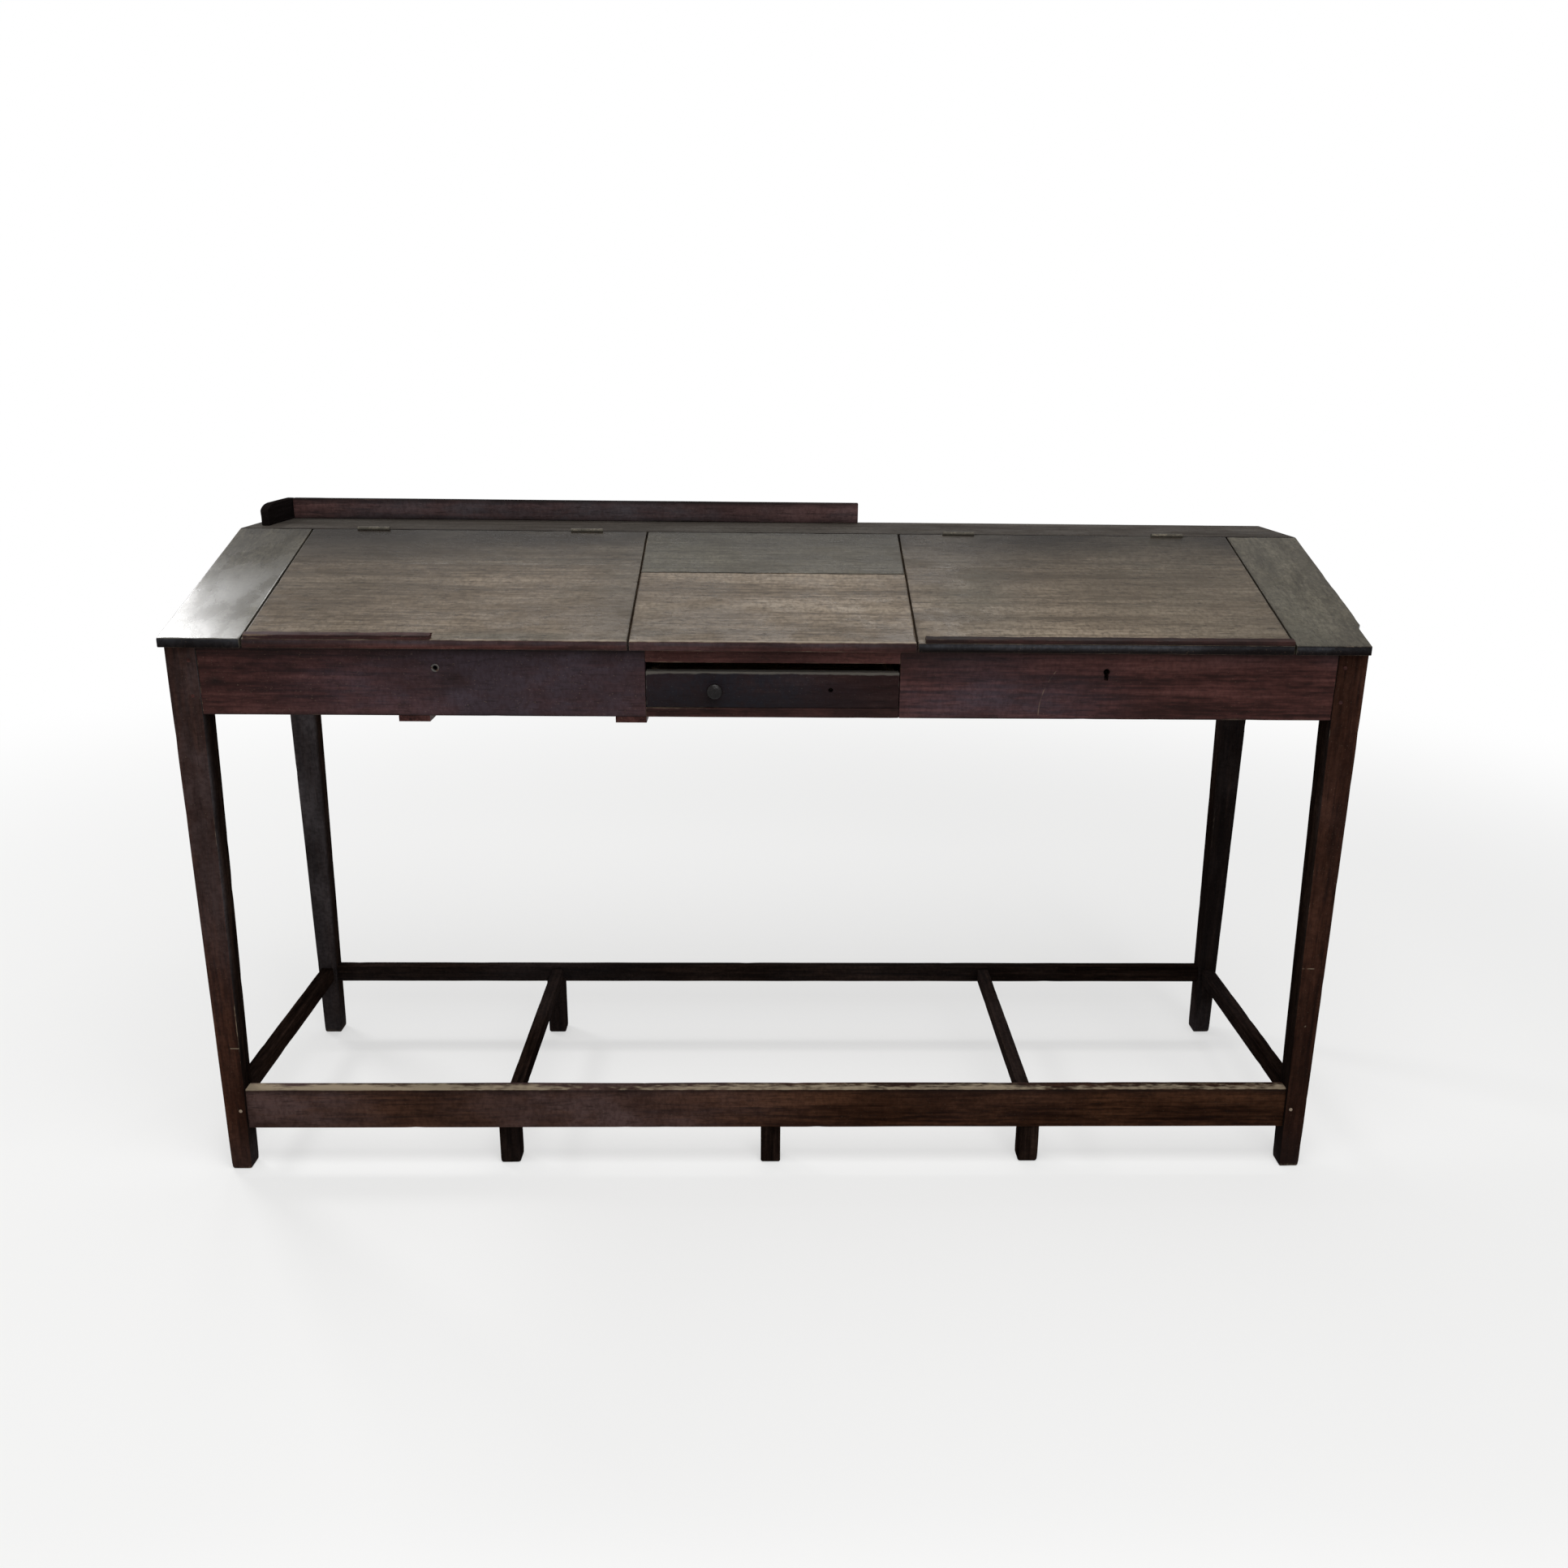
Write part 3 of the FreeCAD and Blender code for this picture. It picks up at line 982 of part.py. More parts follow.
for word, side in SIDES.items():
    board = block(f"drawer_{word}_board", mirrored(side, BOX_INNER, BOX_HALF), (SIDE_START, DRAWER_END),
                  (DRAWER_BOTTOM, f"({DRAWER_BOTTOM} + drawer_side_height)"))
    let_into("drawer_front", board)
    keep(f"drawer_{word}_side", board, [bottom_panel, back_board])
keep("drawer_bottom", bottom_panel)
keep("drawer_back", back_board)

shank = rod("knob_shank", "knob_shank_radius", "drawer_front_thickness",
            ("-knob_spacing / 2", DRAWER_FACE, KNOB_HEIGHT), ALONG_BACK)
neck = doc.addObject("Part::Cone", "knob_neck")
bind(neck, "Radius1", "knob_base_radius")
bind(neck, "Radius2", "knob_neck_radius")
bind(neck, "Height", "knob_length - knob_head_thickness / 2")
put(neck, "-knob_spacing / 2", DRAWER_FACE, KNOB_HEIGHT, ALONG_FRONT)
head = doc.addObject("Part::Ellipsoid", "knob_head")
bind(head, "Radius1", "knob_head_thickness / 2")
bind(head, "Radius2", "knob_radius")
bind(head, "Radius3", "knob_radius")
HEAD_MIDDLE = f"({DRAWER_FACE} - knob_length + knob_head_thickness / 2)"
put(head, "-knob_spacing / 2", HEAD_MIDDLE, KNOB_HEIGHT, ALONG_FRONT)
keep("drawer_knob", joined("drawer_knob_turned", [shank, neck, head]))
lost_hole = rod("lost_knob_hole", "lost_knob_hole_radius", "drawer_front_thickness + 2 * overrun",
                ("knob_spacing / 2", f"{DRAWER_FACE} - overrun", KNOB_HEIGHT), ALONG_BACK)
let_into("drawer_front", shank)
let_into("drawer_front", lost_hole)
keep("drawer_front", block("drawer_front_board", (f"-{FRONT_HALF}", FRONT_HALF), (DRAWER_FACE, FRONT_BACK),
                           (DRAWER_BOTTOM, f"({DRAWER_BOTTOM} + drawer_front_height)")))

# Build, check and write
doc.recompute()
faults = [item.Name for item in doc.Objects if {"Invalid", "Error"} & set(item.State)]
for name, shape in pieces.items():
    if shape.Shape.isNull() or not shape.Shape.isValid() or not shape.Shape.Solids:
        faults.append(name)
if faults:
    raise SystemExit(f"failed: {faults}")
os.makedirs("parts", exist_ok=True)
for name, shape in pieces.items():
    shape.Shape.exportStep(f"parts/{name}.step")
print(f"{len(pieces)} sub-parts, {sum(len(shape.Shape.Solids) for shape in pieces.values())} solids")
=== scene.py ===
"""Dresses the clerk's standing desk in worn boards, old brass and iron, and sets it in a plain studio."""

import logging
import math
from collections.abc import Callable, Mapping, Sequence
from dataclasses import dataclass, field, replace
from enum import Enum

import bmesh
import bpy
import numpy as np
from bmesh.types import BMesh, BMVert
from bpy.types import Material, Mesh, Node, NodeOutputs, NodeSocket, NodeTree, Object
from mathutils import Matrix, Vector
from mathutils.kdtree import KDTree


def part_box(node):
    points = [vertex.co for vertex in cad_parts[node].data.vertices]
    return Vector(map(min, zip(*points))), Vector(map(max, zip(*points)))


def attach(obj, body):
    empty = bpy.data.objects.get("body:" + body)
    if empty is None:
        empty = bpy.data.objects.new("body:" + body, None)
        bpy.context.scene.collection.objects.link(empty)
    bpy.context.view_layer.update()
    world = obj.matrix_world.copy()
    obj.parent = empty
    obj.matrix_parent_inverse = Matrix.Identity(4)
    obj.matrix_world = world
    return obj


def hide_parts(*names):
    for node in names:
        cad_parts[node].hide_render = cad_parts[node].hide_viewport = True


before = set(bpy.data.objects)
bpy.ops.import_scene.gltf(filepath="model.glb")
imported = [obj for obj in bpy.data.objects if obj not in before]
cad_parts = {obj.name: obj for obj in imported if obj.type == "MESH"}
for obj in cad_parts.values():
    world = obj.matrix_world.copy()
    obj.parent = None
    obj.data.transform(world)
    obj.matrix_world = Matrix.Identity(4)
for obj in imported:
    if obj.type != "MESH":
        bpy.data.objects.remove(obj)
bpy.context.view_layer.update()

LOG = logging.getLogger("clerks_standing_desk")
IMAGE_SIDE = 1932
SENSOR = 36.0
# The marks: arris wear, polish film, and real dirt together with painted shade and dark reflection.
MARKS = ("arris", "film", "grime")
SLOPE = math.tan(math.radians(18.5))
WHOLE = math.inf
EVERYWHERE = (0.0, WHOLE)
TURN = 2 * math.pi
TO_FRONT = Matrix.Rotation(math.pi / 2, 4, "X")
TO_SIDE = Matrix.Rotation(math.pi / 2, 4, "Y")
OVERCUT = 0.01
FACING = 0.8
WHITE = (1.0, 1.0, 1.0, 1.0)

Pair = tuple[float, float]
Triple = tuple[float, float, float]
Points = np.ndarray
Field = Callable[[Points], Points]
Value = object
Sockets = Mapping[str, NodeSocket]


class Run(Enum):
    """Which way the grain of a board runs."""

    ALONG_X = (0, 1, 2)
    ALONG_Y = (1, 0, 2)
    ALONG_Z = (2, 0, 1)


class Body(Enum):
    """The bodies that the pieces ride on."""

    DESK = "desk_frame"
    LEFT_LID = "left_lid"
    RIGHT_LID = "right_lid"
    DRAWER = "drawer"


class Side(Enum):
    """The way a face looks."""

    LEFT = (-1.0, 0.0, 0.0)
    RIGHT = (1.0, 0.0, 0.0)
    FRONT = (0.0, -1.0, 0.0)
    BACK = (0.0, 1.0, 0.0)
    UNDER = (0.0, 0.0, -1.0)
    OVER = (0.0, 0.0, 1.0)


class End(Enum):
    """Front or back of the desk."""

    FRONT = "front"
    BACK = "back"


class Hand(Enum):
    """Left or right half of the desk."""

    LEFT = "left"
    RIGHT = "right"

    @property
    def inner(self) -> Side:
        """The way that half's inner faces look."""
        return Side.RIGHT if self is Hand.LEFT else Side.LEFT

    @property
    def lid(self) -> Body:
        """The lid of that half."""
        return Body.LEFT_LID if self is Hand.LEFT else Body.RIGHT_LID


# Shader wiring


class Wiring:
    """Adds and links the nodes of one shader tree."""

    def __init__(self, tree: NodeTree) -> None:
        """Keep the tree that the nodes go into."""
        self.tree = tree

    def feed(self, socket: NodeSocket, value: Value) -> None:
        """Link a socket to another, or set its value.

        Args:
            socket: The input to feed.
            value: An output socket, or a plain value.
        """
        if isinstance(value, NodeSocket):
            self.tree.links.new(value, socket)
        else:
            socket.default_value = value

    def add(self, kind: str, inputs: Mapping[str | int, Value] | None = None, **settings: Value) -> Node:
        """Make one node.

        Args:
            kind: The node's type name.
            inputs: What feeds its inputs, by name or number.
            **settings: The node's own properties.

        Returns:
            The new node.
        """
        node = self.tree.nodes.new(kind)
        for name, value in settings.items():
            setattr(node, name, value)
        for key, value in (inputs or {}).items():
            self.feed(node.inputs[key], value)
        return node

    def math(self, operation: str, first: Value, second: Value = 0.0) -> NodeSocket:
        """Combine two values."""
        return self.add("ShaderNodeMath", {0: first, 1: second}, operation=operation).outputs[0]

    def times(self, first: Value, second: Value) -> NodeSocket:
        """Multiply two values."""
        return self.math("MULTIPLY", first, second)

    def vector(self, operation: str, *vectors: Value) -> NodeOutputs:
        """Combine vectors into a vector and a value."""
        return self.add("ShaderNodeVectorMath", dict(enumerate(vectors)), operation=operation).outputs

    def noise(self, place: Value, factors: Value, detail: float, roughness: float = 0.5) -> NodeSocket:
        """Smooth noise from 0 to 1, read at a place that three factors stretch."""
        inputs = {"Vector": self.vector("MULTIPLY", place, factors)[0], "Scale": 1.0,
                  "Detail": detail, "Roughness": roughness}
        return self.add("ShaderNodeTexNoise", inputs).outputs[0]

    def step(self, value: Value, low: Value, high: Value, to_low: float = 0.0,
             to_high: float = 1.0) -> NodeSocket:
        """A smooth step, from to_low at the low level to to_high at the high one."""
        inputs = {"Value": value, "From Min": low, "From Max": high, "To Min": to_low, "To Max": to_high}
        return self.add("ShaderNodeMapRange", inputs, interpolation_type="SMOOTHSTEP").outputs[0]

    def patches(self, place: Value, factors: Value, levels: Pair, detail: float,
                roughness: float = 0.5) -> NodeSocket:
        """Soft patches where the noise rises from one level to another."""
        return self.step(self.noise(place, factors, detail, roughness), *levels)

    def blend(self, factor: Value, under: Value, over: Triple) -> NodeSocket:
        """Lay a colour over another."""
        inputs = {0: factor, 6: under, 7: (*over, 1.0)}
        return self.add("ShaderNodeMix", inputs, data_type="RGBA").outputs[2]

    def ramp(self, value: Value, *colours: Triple) -> NodeSocket:
        """Colours spread evenly along a value.

        Args:
            value: The value from 0 to 1.
            *colours: The colours from 0 to 1.

        Returns:
            The colour's socket.
        """
        node = self.add("ShaderNodeValToRGB", {0: value})
        stops = node.color_ramp.elements
        while len(stops) < len(colours):
            stops.new(0.5)
        for number, colour in enumerate(colours):
            stops[number].position = number / (len(colours) - 1)
            stops[number].color = (*colour, 1.0)
        return node.outputs[0]

    def mark(self, name: str, output: str = "Fac") -> NodeSocket:
        """What the mesh carries under a name."""
        return self.add("ShaderNodeAttribute", attribute_name=name).outputs[output]

    def surface(self) -> NodeSocket:
        """The surface's place in its object's own coordinates."""
        return self.add("ShaderNodeTexCoord").outputs["Object"]

    def emboss(self, shader: Node, height: NodeSocket, distance: float, strength: float) -> None:
        """Give a shader a bump."""
        inputs = {"Height": height, "Distance": distance, "Strength": strength}
        self.feed(shader.inputs["Normal"], self.add("ShaderNodeBump", inputs).outputs[0])


@dataclass(frozen=True)
class EffectGroup:
    """A shader node group that several finishes place with their own values."""

    name: str
    inputs: Mapping[str, Value]
    wire: Callable[[Wiring, Sockets], Sockets]

    def tree(self) -> NodeTree:
        """Build the group once.

        Returns:
            The group's node tree.
        """
        made = bpy.data.node_groups.get(self.name)
        if made:
            return made
        made = bpy.data.node_groups.new(self.name, "ShaderNodeTree")
        for name, default in self.inputs.items():
            kind = "NodeSocketFloat" if isinstance(default, float) else "NodeSocketVector"
            made.interface.new_socket(name, in_out="INPUT", socket_type=kind).default_value = default
        wiring = Wiring(made)
        found = self.wire(wiring, wiring.add("NodeGroupInput").outputs)
        for name in found:
            made.interface.new_socket(name, in_out="OUTPUT", socket_type="NodeSocketFloat")
        wiring.add("NodeGroupOutput", found)
        return made

    def place(self, wiring: Wiring, **inputs: Value) -> NodeOutputs:
        """Put the group into a material; a _ in an input's name stands for a space."""
        named = {name.replace("_", " "): value for name, value in inputs.items()}
        return wiring.add("ShaderNodeGroup", named, node_tree=self.tree()).outputs


WANDER = 0.012
PORES = (34.0, 230.0, 230.0)
ORIGIN = (0.0, 0.0, 0.0)
SCRATCH_WIDTH = (0.0012, 0.0003)


def wire_grain(wiring: Wiring, inputs: Sockets) -> Sockets:
    """Long fibres that wander, broad bands of growth, short dark pores and small flecks.

    Args:
        wiring: The group's wiring.
        inputs: The group's inputs.

    Returns:
        The group's outputs.
    """
    place = inputs["Place"]
    bend = wiring.math("SUBTRACT", wiring.noise(place, (2.1, 9.0, 9.0), 2.0), 0.5)
    sway = wiring.add("ShaderNodeCombineXYZ", {"Y": wiring.times(bend, WANDER)}).outputs[0]
    wandered = wiring.vector("ADD", place, sway)[0]
    bands = wiring.noise(wandered, (1.2, 26.0, 26.0), 3.0)
    fibres = wiring.noise(wandered, (5.0, 150.0, 150.0), 4.0, 0.6)
    dashes = wiring.noise(wandered, (30.0, 170.0, 170.0), 3.0)
    tone = wiring.math("ADD", wiring.times(bands, 0.36), wiring.times(fibres, 0.40))
    tone = wiring.math("ADD", tone, wiring.times(dashes, 0.24))
    clear = wiring.step(tone, 0.36, 0.64)
    pores = wiring.patches(wandered, inputs["Pore Stretch"], (0.56, 0.68), 2.0)
    flecks = wiring.patches(place, (150.0, 100.0, 100.0), (0.42, 0.62), 3.0)
    height = wiring.math("SUBTRACT", clear, pores)
    return {"Tone": clear, "Pores": pores, "Flecks": flecks, "Height": height}


def wire_stain(wiring: Wiring, inputs: Sockets) -> Sockets:
    """Broad patches where old polish has bloomed, darkened or been smeared, and small specks."""
    place = inputs["Place"]
    return {"Bloom": wiring.patches(place, (1.5, 3.0, 3.0), (0.46, 0.68), 4.0),
            "Shade": wiring.patches(place, (3.2, 7.0, 7.0), (0.36, 0.66), 5.0, 0.6),
            "Smear": wiring.patches(place, (9.0, 15.0, 15.0), (0.36, 0.66), 6.0, 0.65),
            "Specks": wiring.patches(place, (380.0, 420.0, 420.0), (0.70, 0.75), 1.0)}


def wire_wear(wiring: Wiring, inputs: Sockets) -> Sockets:
    """Where hands, sleeves and boots have rubbed the arrises bare.

    Args:
        wiring: The group's wiring.
        inputs: The group's inputs.

    Returns:
        The group's outputs.
    """
    level = inputs["Arris"]
    for factors, share in (((6.0, 9.0, 9.0), 1.5), ((55.0, 140.0, 140.0), 0.9)):
        uneven = wiring.math("SUBTRACT", wiring.noise(inputs["Place"], factors, 3.0), 0.5)
        level = wiring.math("ADD", level, wiring.times(uneven, share))
    low = wiring.math("SUBTRACT", 1.2, inputs["Amount"])
    return {"Mask": wiring.step(level, low, wiring.math("ADD", low, 0.45))}


def wire_scratch(wiring: Wiring, inputs: Sockets) -> Sockets:
    """One thin scratch along part of a circle on an upright face.

    Args:
        wiring: The group's wiring.
        inputs: The group's inputs.

    Returns:
        The group's outputs.
    """
    place, length = inputs["Place"], inputs["Length"]
    apart = wiring.vector("SUBTRACT", place, inputs["Centre"])[0]
    flat = wiring.vector("MULTIPLY", apart, (1.0, 0.0, 1.0))[0]
    reach = wiring.vector("LENGTH", flat)["Value"]
    off = wiring.math("ABSOLUTE", wiring.math("SUBTRACT", reach, inputs["Radius"]))
    line = wiring.step(off, *SCRATCH_WIDTH)
    far = wiring.vector("DISTANCE", place, inputs["Middle"])["Value"]
    near = wiring.step(far, length, wiring.times(length, 0.8))
    broken = wiring.patches(place, (70.0, 70.0, 70.0), (0.36, 0.56), 3.0)
    return {"Mask": wiring.times(wiring.times(line, near), broken)}


GRAIN = EffectGroup("wood_grain", {"Place": ORIGIN, "Pore Stretch": PORES}, wire_grain)
STAIN = EffectGroup("old_stain", {"Place": ORIGIN}, wire_stain)
WEAR = EffectGroup("worn_arris", {"Place": ORIGIN, "Arris": 0.0, "Amount": 0.4}, wire_wear)
SCRATCH = EffectGroup("arc_scratch", {"Place": ORIGIN, "Centre": ORIGIN, "Radius": 0.1, "Middle": ORIGIN,
                                      "Length": 0.05}, wire_scratch)


# Finishes


def new_material(name: str) -> tuple[Material, Wiring, Node]:
    """An empty material with its shader.

    Args:
        name: The material's name.

    Returns:
        The material, its wiring and its Principled shader.
    """
    made = bpy.data.materials.new(name)
    made.use_nodes = True
    made.node_tree.nodes.clear()
    wiring = Wiring(made.node_tree)
    shader = wiring.add("ShaderNodeBsdfPrincipled")
    wiring.add("ShaderNodeOutputMaterial", {"Surface": shader.outputs[0]})
    return made, wiring, shader


@dataclass(frozen=True)
class Scratch:
    """Where a scratch runs: the circle that it follows, its middle and half its length."""

    centre: Triple
    middle: Triple
    length: float

    def mask(self, wiring: Wiring) -> NodeSocket:
        """Put the scratch into a material."""
        radius = math.hypot(self.middle[0] - self.centre[0], self.middle[2] - self.centre[2])
        return SCRATCH.place(wiring, Place=wiring.surface(), Centre=self.centre, Radius=radius,
                             Middle=self.middle, Length=self.length)["Mask"]


@dataclass(frozen=True)
class WoodFinish:
    """Stained and polished wood with its wear."""

    name: str
    dark: Triple
    middle: Triple
    light: Triple
    bloom: Triple
    worn: Triple
    bloom_share: float
    wear_share: float
    roughness: Pair
    specular: float
    # The colour of the pores, of dirt, and of painted shade and dark reflection.
    soot_and_shade: Triple = (0.006, 0.0045, 0.0042)
    pore_share: float = 0.25
    fleck_share: float = 0.15
    shade_share: float = 0.45
    speck_share: float = 0.3
    worn_share: float = 0.8
    scratch_share: float = 0.55
    worn_roughness: float = 0.12
    pore_stretch: Triple = PORES
    relief: float = 0.0003
    relief_strength: float = 0.6
    polish: float = 0.0
    scratches: tuple[Scratch, ...] = ()

    def material(self, run: Run | None = None) -> Material:
        """Build the finish, or find it if it is built.

        Args:
            run: The grain's direction on a CAD node; None on a board that carries its own grain.

        Returns:
            The material.
        """
        name = self.name if run is None else f"{self.name}_{run.name.lower()}"
        made = bpy.data.materials.get(name)
        if made:
            return made
        made, wiring, shader = new_material(name)
        if run is None:
            place = wiring.mark("grain", "Vector")
        else:
            parts = wiring.add("ShaderNodeSeparateXYZ", {0: wiring.surface()}).outputs
            laid = {slot: parts[axis] for slot, axis in enumerate(run.value)}
            place = wiring.add("ShaderNodeCombineXYZ", laid).outputs[0]
        arris, film, grime = (wiring.mark(name) for name in MARKS)
        grain = GRAIN.place(wiring, Place=place, Pore_Stretch=self.pore_stretch)
        stain = STAIN.place(wiring, Place=place)
        worn = WEAR.place(wiring, Place=place, Arris=arris, Amount=self.wear_share)["Mask"]
        smeared = wiring.times(film, wiring.step(stain["Smear"], 0.0, 1.0, 0.55, 1.0))
        filmed = wiring.math("MAXIMUM", smeared, wiring.times(stain["Bloom"], self.bloom_share))
        colour = wiring.ramp(grain["Tone"], self.dark, self.middle, self.light)
        colour = wiring.blend(filmed, colour, self.bloom)
        layers = [(stain["Shade"], self.shade_share, self.dark),
                  (grain["Flecks"], self.fleck_share, self.dark),
                  (grain["Pores"], self.pore_share, self.soot_and_shade),
                  (stain["Specks"], self.speck_share, self.worn), (worn, self.worn_share, self.worn)]
        layers += [(scratch.mask(wiring), self.scratch_share, self.worn) for scratch in self.scratches]
        for mask, share, tint in layers:
            colour = wiring.blend(wiring.times(mask, share), colour, tint)
        # Darken towards the soot colour under real dirt and under painted shade alike.
        dirt_and_shade_amount = wiring.times(grime, wiring.step(stain["Shade"], 0.0, 1.0, 0.75, 1.0))
        wiring.feed(shader.inputs["Base Color"], wiring.blend(dirt_and_shade_amount, colour, self.soot_and_shade))
        rough = wiring.step(stain["Smear"], 0.0, 1.0, *self.roughness)
        rough = wiring.math("ADD", rough, wiring.times(worn, self.worn_roughness))
        wiring.feed(shader.inputs["Roughness"], rough)
        shader.inputs["Specular IOR Level"].default_value = self.specular
        if self.polish:
            wiring.feed(shader.inputs["Coat Weight"], filmed)
            shader.inputs["Coat Roughness"].default_value = self.polish
        wiring.emboss(shader, grain["Height"], self.relief, self.relief_strength)
        return made


@dataclass(frozen=True)
class MetalFinish:
    """Old metal under tarnish."""

    name: str
    bright: Triple
    tarnish: Triple
    tarnish_share: float
    metallic: float
    roughness: Pair
    relief: float = 0.0002
    relief_strength: float = 0.5

    def material(self) -> Material:
        """Build the finish, or find it if it is built.

        Returns:
            The material.
        """
        made = bpy.data.materials.get(self.name)
        if made:
            return made
        made, wiring, shader = new_material(self.name)
        place = wiring.surface()
        cloudy = wiring.noise(place, (90.0, 90.0, 90.0), 5.0, 0.65)
        spots = wiring.patches(place, (420.0, 420.0, 420.0), (0.5, 0.66), 3.0, 0.6)
        spotted = wiring.math("ADD", cloudy, wiring.times(spots, 0.2))
        dull = wiring.step(spotted, 0.75 - 0.5 * self.tarnish_share, 0.95 - 0.5 * self.tarnish_share)
        wiring.feed(shader.inputs["Base Color"], wiring.blend(dull, (*self.bright, 1.0), self.tarnish))
        wiring.feed(shader.inputs["Roughness"], wiring.step(dull, 0.0, 1.0, *self.roughness))
        shader.inputs["Metallic"].default_value = self.metallic
        wiring.emboss(shader, cloudy, self.relief, self.relief_strength)
        return made


STAINED = WoodFinish(
    "stained_frame_wood", dark=(0.014, 0.0054, 0.0047), middle=(0.056, 0.0205, 0.0178),
    light=(0.096, 0.039, 0.034), bloom=(0.072, 0.058, 0.075), worn=(0.17, 0.12, 0.085), bloom_share=0.40,
    wear_share=0.30, roughness=(0.42, 0.62), specular=0.06, pore_share=0.3, fleck_share=0.25,
    shade_share=0.62)
FRAME_WOOD = replace(STAINED, scratches=(Scratch((0.569, -0.278, 0.880), (0.4552, -0.278, 0.918), 0.044),))
GALLERY_WOOD = replace(
    STAINED, name="greyed_gallery_wood", middle=(0.074, 0.033, 0.029), light=(0.120, 0.058, 0.052),
    bloom=(0.064, 0.059, 0.066))
DRAWER_WOOD = replace(
    STAINED, name="darkened_drawer_wood", middle=(0.023, 0.0105, 0.0095), light=(0.046, 0.023, 0.020),
    bloom=(0.0125, 0.0142, 0.0195), worn=(0.100, 0.092, 0.080), specular=0.04)
# Its bloom colour is also the bluish-grey of the painted highlight along the right boards' front edges.
EDGE_WOOD = replace(
    STAINED, name="blackened_edge_wood", dark=(0.005, 0.004, 0.004), middle=(0.011, 0.009, 0.009),
    light=(0.020, 0.016, 0.016), bloom=(0.060, 0.063, 0.072), bloom_share=0.05, wear_share=0.22,
    roughness=(0.55, 0.75), specular=0.0)
# Its bloom colour is also the purple-brown of the painted highlight along the left lid's and the lower centre
# board's front edges.
STAINED_EDGE = replace(STAINED, name="stained_edge_wood", bloom=(0.060, 0.046, 0.052), bloom_share=0.6)
PEG_WOOD = replace(STAINED, name="stained_peg_wood", worn=(0.30, 0.24, 0.18), wear_share=0.3)
PLAIN_LEG = replace(
    STAINED, name="stained_leg_wood", dark=(0.008, 0.0030, 0.0018), middle=(0.035, 0.0128, 0.0072),
    light=(0.060, 0.024, 0.014), bloom=(0.058, 0.040, 0.039), worn=(0.33, 0.27, 0.19), bloom_share=0.25,
    wear_share=0.1, specular=0.01, speck_share=0.12)
LEG_WOOD = replace(PLAIN_LEG, scratches=(
    Scratch((0.965, -0.278, -0.6), (0.965, -0.28, 0.41), 0.016),
    Scratch((-0.96, -0.278, 1.0), (-0.965, -0.28, 0.25), 0.012),
    Scratch((0.977, -0.28, 0.295), (0.9782, -0.28, 0.295), 0.01)))
RAIL_WOOD = replace(
    PLAIN_LEG, name="trodden_rail_wood", wear_share=0.2, middle=(0.048, 0.0200, 0.0100),
    light=(0.082, 0.036, 0.019), bloom=(0.086, 0.054, 0.051), shade_share=0.7)
# Dark stain with painted shade: the back legs, the back rail, the stretchers, the short feet and the front
# legs' inner faces are darkened for the shade under and behind the desk.
STAIN_AND_SHADE_WOOD = replace(
    PLAIN_LEG, name="darkened_under_wood", dark=(0.003, 0.0020, 0.0017), middle=(0.013, 0.0076, 0.0058),
    light=(0.027, 0.016, 0.012), bloom=(0.075, 0.066, 0.070), worn=(0.11, 0.085, 0.065), bloom_share=0.15,
    specular=0.0)
TOP_WOOD = WoodFinish(
    "polished_top_wood", dark=(0.060, 0.045, 0.031), middle=(0.140, 0.108, 0.077),
    light=(0.207, 0.166, 0.122), bloom=(0.074, 0.070, 0.056), worn=(0.26, 0.21, 0.16), bloom_share=0.45,
    wear_share=0.26, roughness=(0.20, 0.40), specular=0.05, relief=0.00012, pore_share=0.42,
    fleck_share=0.45, shade_share=0.55, pore_stretch=(52.0, 250.0, 250.0))
GREYED_TOP = replace(
    TOP_WOOD, name="greyed_top_wood", dark=(0.042, 0.037, 0.028), middle=(0.081, 0.072, 0.054),
    light=(0.119, 0.106, 0.080), bloom=(0.084, 0.079, 0.061), bloom_share=0.7, pore_share=0.3)
GLOSSY_TOP = replace(GREYED_TOP, name="glossy_top_wood", relief=0.00004, polish=0.2, bloom_share=0.15)
# The shelf's dull finish, darkened as painted shade and dark reflection behind the lids and below the
# gallery.
DULL_SHADED_SHELF = replace(
    GREYED_TOP, name="dusty_shelf_wood", dark=(0.024, 0.020, 0.017), middle=(0.048, 0.041, 0.035),
    light=(0.078, 0.068, 0.058), bloom=(0.052, 0.048, 0.042), roughness=(0.65, 0.85), specular=0.02)
INNER_WOOD = WoodFinish(
    "bare_inner_wood", dark=(0.085, 0.052, 0.030), middle=(0.20, 0.135, 0.082), light=(0.30, 0.215, 0.135),
    bloom=(0.16, 0.14, 0.115), worn=(0.34, 0.26, 0.18), bloom_share=0.4, wear_share=0.2,
    roughness=(0.62, 0.8), specular=0.25)
KNOB_WOOD = WoodFinish(
    "turned_knob_wood", dark=(0.004, 0.003, 0.003), middle=(0.008, 0.006, 0.006), light=(0.010, 0.008, 0.008),
    bloom=(0.012, 0.011, 0.012), worn=(0.10, 0.085, 0.075), bloom_share=0.2, wear_share=0.1,
    roughness=(0.22, 0.32), specular=0.16)
BRASS = MetalFinish("tarnished_brass", bright=(0.085, 0.074, 0.056), tarnish=(0.058, 0.052, 0.042),
                    tarnish_share=0.8, metallic=0.9, roughness=(0.45, 0.7))
IRON = MetalFinish("rusty_iron", bright=(0.075, 0.07, 0.066), tarnish=(0.075, 0.034, 0.017),
                   tarnish_share=0.45, metallic=0.85, roughness=(0.45, 0.75))


# Worn boards


